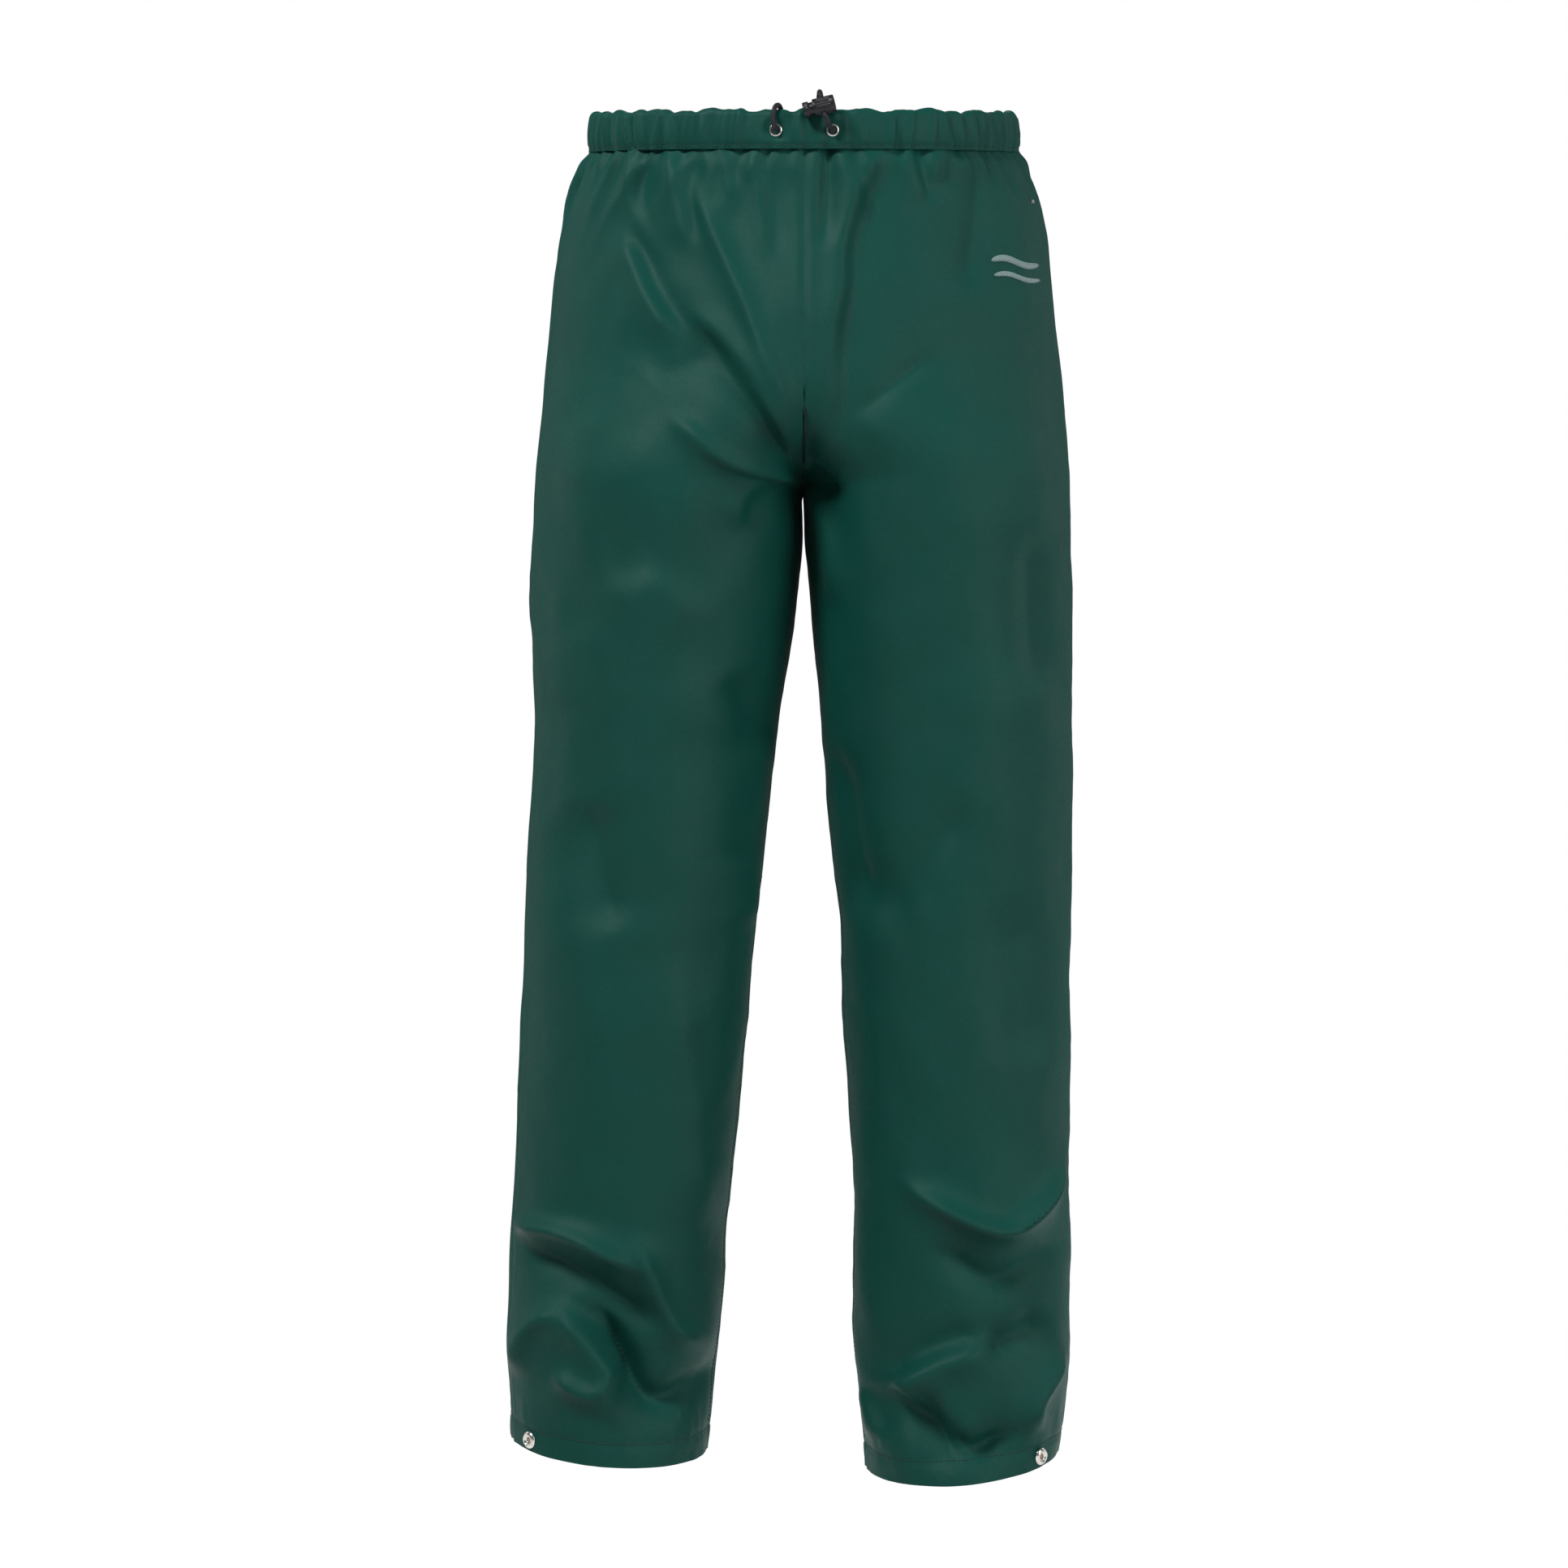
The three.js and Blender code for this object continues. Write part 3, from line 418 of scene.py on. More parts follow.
def lathe(name, outline, material, segments=48):
    """A turned piece about +Z, from [radius, height] pairs that close on themselves."""
    angles = np.linspace(0, 2 * math.pi, segments, endpoint=False)
    points = [(r * math.cos(a), r * math.sin(a), h) for r, h in outline for a in angles]
    faces = grid_faces(len(outline), segments, wrap_rows=True, wrap_columns=True)
    return turned_out(mesh_object(name, points, faces, material))


def rounded(outline, radius, closed=True):
    """The outline with its corners rounded. An open one keeps its two ends."""
    points = [np.array(p, float) for p in outline]
    out = []
    for i in range(len(points)) if closed else range(1, len(points) - 1):
        before, here, after = points[i - 1], points[i], points[(i + 1) % len(points)]
        a, b = before - here, after - here
        reach = min(radius, 0.45 * np.linalg.norm(a), 0.45 * np.linalg.norm(b))
        start, end = here + reach * unit(a), here + reach * unit(b)
        for t in np.linspace(0, 1, 5):
            out.append(tuple((1 - t) ** 2 * start + 2 * t * (1 - t) * here + t * t * end))
    return out if closed else [outline[0], *out, outline[-1]]


def place(obj, at, direction):
    """Moves a turned piece so that its +Z points along a direction from a place, and fixes it in its mesh."""
    turn = Vector((0, 0, 1)).rotation_difference(Vector(direction)).to_matrix().to_4x4()
    obj.data.transform(Matrix.Translation(Vector(at)) @ turn)
    return obj


def smooth_path(points, step):
    """A curve through the points, as closely spaced points a step apart."""
    ends = past_ends(np.array(points, float))
    fine = [between(*four, t) for four in zip(ends, ends[1:], ends[2:], ends[3:])
            for t in np.linspace(0, 1, 24, endpoint=False)]
    fine = np.array(fine + [ends[-2]])
    run = run_along(fine)
    count = max(2, int(round(run[-1] / step)))
    at = np.linspace(0, run[-1], count + 1)
    return np.stack([np.interp(at, run, fine[:, k]) for k in range(3)], 1)


def tube_points(path, angle, radius, closed=False):
    """Rings of points at those angles and that radius round a path, turned as little as possible along it."""
    tangent = np.roll(path, -1, 0) - np.roll(path, 1, 0) if closed else np.gradient(path, axis=0)
    tangent = unit(tangent)
    side = np.cross(tangent[0], [0.3, 0.5, 0.81])
    sides = []
    for t in tangent:
        side = unit(side - t * side.dot(t))
        sides.append(side)
    u, v = np.array(sides)[:, None], np.cross(tangent, sides)[:, None]
    round_it = np.cos(angle)[..., None] * u + np.sin(angle)[..., None] * v
    return (path[:, None] + np.asarray(radius)[..., None] * round_it).reshape(-1, 3)


def braid(name, path, radius, material, pitch=0.0062, strands=5, sides=24):
    """A braided tube with rounded ends along a path."""
    run = run_along(path)
    angle = np.linspace(0, 2 * math.pi, sides, endpoint=False)
    s, a = np.meshgrid(run, angle, indexing="ij")
    twist = 2 * math.pi * s / pitch
    left, right = np.cos(strands * a + twist), np.cos(strands * a - twist)
    r = radius * (0.90 + 0.10 * np.maximum(left, right) ** 2)
    from_end = np.minimum(s, run[-1] - s)
    r = r * np.sqrt(np.clip(1 - (1 - np.clip(from_end / (0.6 * radius), 0, 1)) ** 2, 0.02, 1))
    uvs = np.stack([a * radius, s], -1).reshape(-1, 2)
    faces = capped_faces(len(path), sides)
    return turned_out(mesh_object(name, tube_points(path, a, r), faces, material, uvs=uvs))


def fit(piece, body, slot, *nodes):
    """Gives a finished piece its body, and hides the nodes that it stands for. The slot is not used."""
    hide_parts(*nodes)
    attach(piece, body)


# ---------------------------------------------------------------- cord lock
# The lock sits on a straight stretch of the left cord. Its own Y is its axis, and its own Z is the cord.
LOCK_ENTRY, LOCK_EXIT = Vector((15.95, -126.2, -4.3)) / 1000, Vector((13.25, -118.8, 8.7)) / 1000
LOCK_ALONG = (LOCK_EXIT - LOCK_ENTRY).normalized()
LOCK_AXIS = LOCK_ALONG.cross(Vector((0.94, 0, 0.34))).normalized().cross(LOCK_ALONG).normalized()
LOCK_ORIGIN = (LOCK_ENTRY + LOCK_EXIT) / 2 - LOCK_AXIS * 0.0075
LOCK_BASIS = Matrix([LOCK_AXIS.cross(LOCK_ALONG), LOCK_AXIS, LOCK_ALONG]).transposed().to_4x4()
LOCK_FRAME = BAND @ Matrix.Translation(LOCK_ORIGIN) @ LOCK_BASIS
LOCK_BORE = 0.0023
RIB_END = 0.0006  # the length over which a grip rib runs out


def ribbed(name, outline, material, ribs=0, depth=0.0, low=0.0, high=0.0, segments=160):
    """A turned piece about +Y whose side has grip ribs between two heights."""
    angles = np.linspace(0, 2 * math.pi, segments, endpoint=False)
    points = []
    widest = max(r for r, _ in outline)
    for r, h in outline:
        gripped = smoothstep((h - low) / RIB_END) * smoothstep((high - h) / RIB_END) * (r > 0.96 * widest)
        for a in angles:
            cut = depth * gripped * max(0.0, math.cos(ribs * a)) ** 2
            points.append(((r - cut) * math.sin(a), h, (r - cut) * math.cos(a)))
    return turned_out(mesh_object(name, points, capped_faces(len(outline), segments), material))


def closer(outline, step=0.0007):
    """The open outline with extra points along its straight stretches."""
    out = [outline[0]]
    for a, b in zip(outline, outline[1:]):
        count = max(1, int(math.dist(a, b) / step))
        shares = [k / count for k in range(1, count + 1)]
        out += [(a[0] + (b[0] - a[0]) * t, a[1] + (b[1] - a[1]) * t) for t in shares]
    return out


def drilled(obj, low, high, sides=32, reach=0.012):
    """Cuts the cord's way through a piece of the lock, along its own Z, as a slot between two heights."""
    angle = np.linspace(0, 2 * math.pi, sides, endpoint=False)
    x = LOCK_BORE * np.cos(angle)
    y = LOCK_BORE * np.sin(angle) + np.where(np.sin(angle) > 0, high, low)
    points = [(*at, z) for z in (-reach, reach) for at in zip(x, y)]
    tool = turned_out(mesh_object("drill", points, capped_faces(2, sides), PLASTIC_MAT))
    cut = obj.modifiers.new("bore", "BOOLEAN")
    cut.object, cut.solver = tool, "EXACT"
    mesh = bpy.data.meshes.new_from_object(obj.evaluated_get(bpy.context.evaluated_depsgraph_get()))
    obj.modifiers.clear()
    obj.data = mesh
    bpy.data.objects.remove(tool)
    return obj


# The lock's barrel and button as (radius, height) from the axis round the outside to the axis again, where the
# barrel's mouth is at height 0 and its closed end is the highest.
BARREL = metres((0.2, 15.0), (5.4, 15.0), (5.4, 0), (7.0, 0), (7.0, 17.0), (5.0, 17.0), (4.5, 16.6),
                (0.2, 16.6))
BUTTON = metres((0.2, -7.4), (4.0, -7.4), (4.4, -8.0), (6.2, -8.0), (6.2, -3.3), (5.1, -3.3), (5.1, 10.8),
                (0.2, 10.8))
barrel = closer(rounded(BARREL, 0.0009, closed=False))
barrel = ribbed("cord_lock_barrel_ribbed", barrel, PLASTIC_MAT, 16, 0.0004, 0.0020, 0.0140)
barrel = drilled(barrel, 0.0075, 0.00752)
button = closer(rounded(BUTTON, 0.0007, closed=False))
button = ribbed("cord_lock_button_ribbed", button, PLASTIC_MAT, 14, 0.0003, -0.0070, -0.0042)
button = drilled(button, 0.0045, 0.0075)
for piece, body in ((barrel, "cord_lock"), (button, "cord_lock_button")):
    piece.data.transform(LOCK_FRAME)
    piece.data.polygons.foreach_set("use_smooth", [True] * len(piece.data.polygons))
    bpy.context.view_layer.objects.active = piece
    piece.data.set_sharp_from_angle(angle=math.radians(35))
    fit(piece, body, "plastic", piece.name.removesuffix("_ribbed"))


def coil(name, radius, low, high, turns, wire, sides=12):
    """A spring about +Y with closed ends."""
    t = np.linspace(0, 1, int(turns * 28) + 1)
    angle = 2 * math.pi * turns * t
    path = np.stack([radius * np.cos(angle), low + (high - low) * smoothstep(t), radius * np.sin(angle)], 1)
    points = tube_points(path, np.linspace(0, 2 * math.pi, sides, endpoint=False), wire)
    return turned_out(mesh_object(name, points, capped_faces(len(path), sides), STEEL_MAT))


SPRING_FOOT, SPRING_TOP = 0.0112, 0.0148
spring = coil("cord_lock_coil", 0.0040, SPRING_FOOT + 0.0003, SPRING_TOP - 0.0003, 3.5, 0.00028)
spring.data.transform(LOCK_FRAME)
fit(spring, "cord_lock", "spring", "cord_lock_spring")
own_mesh(spring)


# ---------------------------------------------------------------- the drawcord's free ends
CORD_R = 0.002


def from_band(points):
    """Points in metres, from points in millimetres in the frame that the waistband tilts with."""
    return [tuple(BAND @ Vector(p) / 1000) for p in points]


def hanging(start, length, steps=5):
    """More points of a route, straight down from its start but for a slight sway."""
    x, y, z = start
    drops = [length * (i + 1) / steps for i in range(steps)]
    return [(x + 2 * math.sin(2 * drop / length), y - 0.1 * drop, z - drop) for drop in drops]


LEFT_ROUTE = [
    (22.15, -114.7, -16), (21.9, -118, -15.9), (20.8, -122.2, -14.8), (19.2, -125.4, -12),
    (17.6, -126.9, -8.2), (15.95, -126.2, -4.3), (13.25, -118.8, 8.7), (12.6, -115.2, 12.2),
    (12.1, -110.6, 13.6), (11.8, -105.8, 12.6), (11.6, -102, 9.4), (11.5, -100.4, 4.6),
    (11.6, -100.8, -6), (11.9, -101.2, -18), (12.4, -101.6, -32),
]
RIGHT_ROUTE = [
    (-22.15, -114.7, -16), (-22.5, -117, -15.6), (-23.1, -119.2, -13.8), (-23.7, -120.1, -10.6),
    (-24, -119.8, -6.6), (-23.6, -118.7, -1.9), (-22.6, -116.2, 1.2), (-21.2, -112.6, 3),
    (-19.8, -108.8, 3.1), (-18.6, -105.2, 1.6), (-17.7, -102.6, -1.2), (-17.2, -101.4, -5.6),
    (-17, -101.2, -18), (-17.2, -101.6, -32),
]
ROUTES = {
    "left": from_band(LEFT_ROUTE + hanging(LEFT_ROUTE[-1], 122)),
    "right": from_band(RIGHT_ROUTE + hanging(RIGHT_ROUTE[-1], 126)),
}


def knot(name, at, steps=120, sides=14, radius=0.0017):
    """An overhand knot with a short sealed tail."""
    t = np.linspace(0, 2 * math.pi, steps, endpoint=False)
    loop = np.stack([np.sin(t) + 2 * np.sin(2 * t), np.cos(t) - 2 * np.cos(2 * t), -1.3 * np.sin(3 * t)], 1)
    loop = loop[:, [0, 2, 1]] * 0.00098 + np.array(at)
    angle = np.linspace(0, 2 * math.pi, sides, endpoint=False)
    along, around = np.meshgrid(np.arange(steps) * 0.0006, angle * radius, indexing="ij")
    uvs = np.stack([around, along], -1).reshape(-1, 2)
    points = tube_points(loop, angle, radius, closed=True)
    body = turned_out(mesh_object(name, points, grid_faces(steps, sides, True, True), CORD_MAT, uvs=uvs))
    tail = smooth_path(np.array(at) + metres((0, 0, -2), (0.8, 0, -6), (0.4, -0.6, -10.5)), 0.0006)
    return merge(name, [body, braid(name + "_tail", tail, 0.0018, CORD_MAT)])


for side, route in ROUTES.items():
    path = smooth_path(route, 0.0007)
    cord = braid(f"{side}_drawcord_end", path, CORD_R, CORD_MAT)
    fit(cord, "waist", "cord", f"{side}_cord_end")
    low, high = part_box(f"{side}_cord_knot")
    tied = knot(f"{side}_drawcord_knot", (low + high) / 2)
    fit(tied, "waist", "cord", f"{side}_cord_knot")


# ---------------------------------------------------------------- the garment's surface
def profile(*stations):
    """A smooth curve through (height, value) stations listed from the waist down."""
    zs, vs = np.array(stations, float).T
    last = len(zs) - 1
    around = [(max(0, i - 1), min(last, i + 1)) for i in range(last + 1)]
    slope = np.array([(vs[after] - vs[before]) / (zs[after] - zs[before]) for before, after in around])

    def at(z):
        i = np.clip(np.searchsorted(-zs, -np.asarray(z, float), side="right") - 1, 0, last - 1)
        span = zs[i + 1] - zs[i]
        t = np.clip((z - zs[i]) / span, 0, 1)
        ends = vs[i] + (vs[i + 1] - vs[i]) * t * t * (3 - 2 * t)
        return ends + span * slope[i] * t * (1 - t) ** 2 - span * slope[i + 1] * t * t * (1 - t)

    return at


outer_side = profile((0, 0.170), (-0.030, 0.172), (-0.080, 0.191), (-0.140, 0.201), (HIP, 0.206),
                     (CROTCH, 0.212), (-0.500, 0.217), (-0.690, 0.220), (-0.980, 0.224), (HEM, 0.216))
inner_side = profile((CROTCH, 0.001), (-0.350, 0.002), (-0.460, 0.016), (-0.600, 0.030), (-0.690, 0.036),
                     (-0.946, 0.051), (HEM, 0.063))
front_side = profile((0, -0.115), (-0.030, -0.115), (HIP, -0.125), (CROTCH, -0.122), (-0.420, -0.113),
                     (-0.690, -0.097), (HEM, -0.072))
back_side = profile((0, 0.115), (-0.030, 0.115), (HIP, 0.146), (CROTCH, 0.136), (-0.420, 0.120),
                    (-0.690, 0.099), (HEM, 0.084))


LEAN_START = -0.380
HEM_TILT, HEM_CANT, HEM_TILT_REACH = 0.17, 0.08, 0.106  # the hem is lower over the toes and higher outside
TILT_START, TILT_END = -0.040, -0.180  # the waistband's tilt fades out between these heights


def ring(z):
    """The ellipse of one leg at a height: middle and half size across, middle and half size in depth."""
    outer, inner = outer_side(z), inner_side(z)
    share = smoothstep((HIP - z) / (HIP - CROTCH))
    inner = np.where(z > CROTCH, -outer * (1 - share) + inner * share, inner)
    front, back = front_side(z), back_side(z)
    return (outer + inner) / 2, (outer - inner) / 2, (front + back) / 2, (back - front) / 2


def cloth_point(side, z, angle, out=0.0):
    """Points of the cloth: angle 0 is the side seam and positive angles run over the front."""
    across, half_width, middle, half_depth = ring(z)
    x = across + (half_width + out) * np.cos(angle)
    y = middle - (half_depth + out) * np.sin(angle)
    down = np.clip((LEAN_START - z) / (LEAN_START - HEM), 0, 1)
    near_hem = smoothstep((HEM + HEM_TILT_REACH - z) / HEM_TILT_REACH)
    lift = near_hem * (HEM_TILT * (y - middle) + HEM_CANT * (x - across)) - DROP[side] * down
    turn = TILT * smoothstep((z - TILT_END) / (TILT_START - TILT_END))
    return np.stack([SIGN[side] * (x + LEAN[side] * down), y * np.cos(turn) - z * np.sin(turn),
                     z * np.cos(turn) + y * np.sin(turn) + lift], -1)


SEAM_CROWD = 2.4
SEAM_FLAT = 0.35  # how much of a sideways slope the cloth keeps at the centre seams


class Grid:
    """Rows from the waistband's foot to the hem, and columns from the front seam round to the back seam."""

    def __init__(self, above, below, columns, top=-0.0290):
        self.above, self.below, self.columns = above, below, columns
        self.rows = above + below + 1
        k = np.arange(self.rows)[:, None]
        self.t = (1 - 2 * np.arange(columns + 1) / columns)[None, :] * np.ones((self.rows, 1))
        s = np.clip((above - k) / above, 0, 1)
        even, dense = CROTCH + (top - CROTCH) * s, CROTCH + (top - CROTCH) * s * s
        upper = even + (dense - even) * np.abs(self.t) ** 4
        lower = CROTCH + (HEM - CROTCH) * (k - above) / below
        self.z = np.where(k < above, upper, lower * np.ones_like(upper))
        across, half_width, _, _ = ring(self.z)
        end = np.where(self.z > CROTCH, np.arccos(-np.clip(across / half_width, -1, 1)), math.pi)
        # Most of the turn that the centre seams take away comes off the columns nearest to them.
        power = 1 + SEAM_CROWD * smoothstep((HIP - self.z) / (HIP - CROTCH))
        self.angle = self.t * math.pi - np.sign(self.t) * np.abs(self.t) ** power * (math.pi - end)
        self.waist = math.pi / 2 * (1 - self.t)

    def base(self, side, out=0.0):
        points = cloth_point(side, self.z, self.angle, out)
        points[: self.above + 1, [0, -1], 0] = 0
        return points

    def normals(self, side, points):
        """Outward normals, alike where a leg's front and back edges meet, and mirrored at the centre seams."""
        down = np.gradient(points, axis=0)
        along = np.gradient(points, axis=1)
        below = slice(self.above + 1, None)
        wrap = (points[below, 1] - points[below, -2]) / 2
        along[below, 0] = along[below, -1] = wrap
        n = SIGN[side] * np.cross(down, along)
        n[: self.above, [0, -1], 0] *= SEAM_FLAT
        n[self.above, [0, -1]] = (0, 0, -1)
        return n / np.maximum(np.linalg.norm(n, axis=-1), 1e-12)[..., None]


# ---------------------------------------------------------------- folds
def value_noise(points, scale, seed):
    """Smooth noise from -1 to 1 over points in space."""
    p = np.asarray(points, float) * scale + 37.1 * seed
    cell = np.floor(p).astype(np.int64)
    f = p - cell
    f = f * f * f * (f * (f * 6 - 15) + 10)
    total = 0.0
    for corner in itertools.product((0, 1), repeat=3):
        x, y, z = np.moveaxis(cell + corner, -1, 0)
        key = x * 73856093 ^ y * 19349663 ^ z * 83492791
        value = ((key * 2654435761 + seed * 97) % 65536) / 32767.5 - 1
        total = total + value * np.where(corner, f, 1 - f).prod(-1)
    return total


# Each fold: its kind, half width and height, and the line that it follows seen from the front or the back, as
# (x, z), all in millimetres. A ridge stands out, a valley sinks in, and a crease does both side by side.
FRONT_FOLDS = [
    ("crease", 5, 2.4, (-128, -36), (-136, -84)),
    ("crease", 5, 2.6, (-60, -36), (-54, -72)),
    ("crease", 5, 2.6, (86, -36), (94, -78)),
    ("crease", 5, 2.2, (114, -36), (106, -64)),
    ("crease", 7, 3.0, (-94, -50), (-88, -107)),
    ("ridge", 10, 4.5, (-84, -75), (-62, -125), (-45, -165), (-16, -238)),
    ("crease", 7, 4.5, (-134, -112), (-118, -150), (-100, -180)),
    ("crease", 8, -5.5, (-80, -180), (-64, -196), (-40, -232), (-14, -275)),
    ("ridge", 8, 4.5, (-95, -258), (-60, -284), (-12, -292)),
    ("crease", 8, 4.0, (-12, -292), (-40, -310), (-46, -330)),
    ("crease", 5, 2.5, (-37, -45), (-29, -80), (-26, -119)),
    ("valley", 9, 2.5, (-110, -220), (-79, -203)),
    ("valley", 5, 3.0, (19, -30), (18, -107)),
    ("crease", 8, 4.0, (58, -55), (44, -85), (36, -115), (34, -150), (27, -190), (26, -250)),
    ("crease", 6, -4.5, (6, -278), (24, -294), (30, -304)),
    ("valley", 14, 3.0, (141, -50), (130, -140)),
    ("valley", 12, 2.5, (95, -205), (45, -245)),
    ("ridge", 7, 3.0, (7, -293), (14, -320), (21, -345), (22, -380)),
    ("crease", 22, 3.2, (-150, -380), (-115, -372), (-80, -395)),
    ("valley", 15, 4.0, (-50, -455), (-28, -500)),
    ("ridge", 22, 2.2, (-46, -595), (-36, -640)),
    ("valley", 14, 4.0, (30, -520), (44, -625)),
    ("valley", 20, 6.0, (180, -350), (186, -450)),
    ("valley", 24, 4.0, (60, -640), (120, -560)),
    ("valley", 26, 4.5, (-170, -560), (-150, -640)),
    ("ridge", 30, 3.5, (-100, -700), (-80, -860)),
    ("valley", 26, 4.0, (170, -640), (185, -740)),
    ("ridge", 9, 6.0, (-225, -885), (-185, -890), (-140, -912)),
    ("valley", 14, 5.0, (-215, -905), (-170, -925), (-120, -955)),
    ("crease", 8, 6.5, (-180, -950), (-152, -984), (-144, -998), (-152, -1012)),
    ("valley", 12, 6.5, (-157, -958), (-137, -990), (-119, -1018), (-101, -1020), (-75, -1006)),
    ("ridge", 8, 4.5, (-190, -1002), (-168, -1015), (-150, -1012)),
    ("ridge", 9, 4.5, (-228, -995), (-212, -965), (-195, -950)),
    ("ridge", 10, 4.5, (-130, -900), (-105, -960), (-85, -975)),
    ("ridge", 9, 6.5, (94, -858), (150, -886), (180, -872), (206, -835)),
    ("valley", 14, 4.5, (110, -905), (150, -925), (195, -905)),
    ("crease", 9, 5.5, (68, -1006), (100, -986), (135, -974)),
    ("crease", 9, -6.0, (74, -1010), (100, -1034), (122, -1060)),
    ("valley", 11, 6.5, (92, -1016), (110, -1040), (131, -1058), (160, -1050)),
    ("crease", 6, 3.5, (50, -1018), (60, -1048)),
    ("ridge", 9, 5.0, (203, -990), (181, -1024), (183, -1040)),
    ("valley", 16, 4.5, (150, -980), (190, -960)),
]
BACK_FOLDS = [
    ("crease", 8, 4.0, (-100, -60), (-70, -120), (-30, -200)),
    ("crease", 8, 4.0, (95, -55), (75, -115), (35, -190)),
    ("crease", 6, 3.0, (-40, -45), (-30, -100)),
    ("valley", 7, 3.0, (30, -40), (22, -110)),
    ("ridge", 10, 5.0, (-125, -235), (-70, -275), (-15, -290)),
    ("ridge", 10, 5.0, (130, -225), (80, -270), (15, -290)),
    ("valley", 12, 5.0, (-120, -290), (-60, -325), (-15, -320)),
    ("valley", 12, 5.0, (120, -285), (65, -325), (15, -322)),
    ("crease", 10, 5.0, (-170, -330), (-110, -375), (-50, -390)),
    ("crease", 10, 5.0, (175, -345), (120, -385), (50, -395)),
    ("valley", 20, 4.0, (-200, -655), (-150, -668), (-85, -640)),
    ("valley", 17, 3.5, (55, -630), (115, -662), (165, -668)),
    ("ridge", 15, 3.0, (-165, -705), (-120, -712), (-75, -685)),
    ("ridge", 13, 3.0, (85, -712), (140, -735), (195, -720)),
    ("crease", 12, 3.0, (60, -560), (110, -590), (175, -575)),
    ("ridge", 10, 4.5, (-215, -865), (-165, -900), (-110, -905)),
    ("ridge", 11, 4.5, (65, -915), (120, -890), (180, -905)),
    ("crease", 9, 5.5, (-205, -950), (-150, -985), (-100, -975)),
    ("crease", 9, 5.5, (70, -965), (120, -995), (180, -975)),
    ("valley", 12, 5.5, (-190, -1010), (-140, -1025), (-95, -1005)),
    ("valley", 12, 5.5, (70, -1020), (125, -1045), (180, -1020)),
]
FOLD_SCALE = 2.2
HEM_FOLD_BOOST = 0.35  # the creases above the hems are this much deeper


def fold_height(x, z, kind, width, height, *line):
    """Height of one fold at places (x, z)."""
    width, height, line = width / 1000, height / 1000, np.array(line) / 1000
    reach = np.ptp(line, axis=0).max() + 6 * width + 0.02
    near = np.hypot(x - line[:, 0].mean(), z - line[:, 1].mean()) < reach
    total = np.zeros(x.shape)
    x, z = x[near], z[near]
    if len(line) > 2:
        line = rounded_line(line)
    starts = run_along(line)
    whole = starts[-1]
    best = np.full(x.shape, 1e9)
    signed, along = np.zeros(x.shape), np.zeros(x.shape)
    for a, b, start, end in zip(line, line[1:], starts, starts[1:]):
        d = (b - a) / (end - start)
        # The first and last stretches run on past their ends, where the fold dies out.
        before, after = (0.25 * whole if tip else 0.0 for tip in (start == 0, end == whole))
        t = np.clip((x - a[0]) * d[0] + (z - a[1]) * d[1], -before, end - start + after)
        px, pz = x - a[0] - t * d[0], z - a[1] - t * d[1]
        distance = np.hypot(px, pz)
        nearer = distance < best
        best = np.where(nearer, distance, best)
        signed = np.where(nearer, np.sign(px * d[1] - pz * d[0]) * distance, signed)
        along = np.where(nearer, (start + t) / whole, along)
    ends = smoothstep((along + 0.22) / 0.40) * smoothstep((1.22 - along) / 0.40)
    if kind == "crease":
        u = signed / width
        shape = 1.9 * u * np.exp(-1.15 * np.abs(u)) / np.where(u < 0, 1.4, 1.0)
    else:
        u = best / width
        shape = np.exp(-1.25 * (np.sqrt(u * u + 0.05) - 0.2236)) * (1 if kind == "ridge" else -1)
    total[near] = height * shape * ends
    return total


def rounded_line(line, steps=4):
    """The polyline with its corners eased."""
    ends = past_ends(line)
    out = [between(*four, t) for four in zip(ends, ends[1:], ends[2:], ends[3:])
           for t in np.arange(steps) / steps]
    return np.array(out + [line[-1]])


def folds(grid, base):
    """Outward height of the placed folds."""
    x, z = base[..., 0], base[..., 2]
    total = np.zeros(x.shape)
    for share, lines in ((grid.t, FRONT_FOLDS), (-grid.t, BACK_FOLDS)):
        share = FOLD_SCALE * smoothstep((share - 0.03) / 0.20)
        share = share * (1 + HEM_FOLD_BOOST * smoothstep((-0.82 - z) / 0.05))
        share = share * (1 - smoothstep((CROTCH - z) / 0.10) * (1 - smoothstep((1 - np.abs(grid.t)) / 0.14)))
        for fold in lines:
            total += share * fold_height(x, z, *fold)
    return total


def dents(base):
    """Outward height of the broad soft dents all over."""
    drifted = base + np.stack([0.02 * value_noise(base, 9, 5 + k) for k in range(3)], -1)
    soft = 0.0042 * value_noise(drifted * (1, 1, 0.55), 11, 1)
    soft += 0.0018 * value_noise(drifted * (1, 1, 0.8), 24, 2)
    return soft * smoothstep((-0.06 - base[..., 2]) / 0.10)


def make_gathers(count, seed):
    """Tucks round the waist: place as an angle, slope, half width, height, and how far down each one runs."""
    rng = np.random.default_rng(seed)
    places = (np.arange(count) + rng.uniform(-0.42, 0.42, count)) * 2 * math.pi / count
    return [(p, rng.uniform(-0.55, 0.55), rng.uniform(0.0018, 0.0042), rng.uniform(0.5, 1.0) ** 1.3,
             rng.uniform(0.02, 0.12), rng.uniform(-0.2, 1.0)) for p in places]


GATHERS = make_gathers(84, 11)
GATHER_R = 0.146  # the waist's mean radius, on which the tucks are spaced


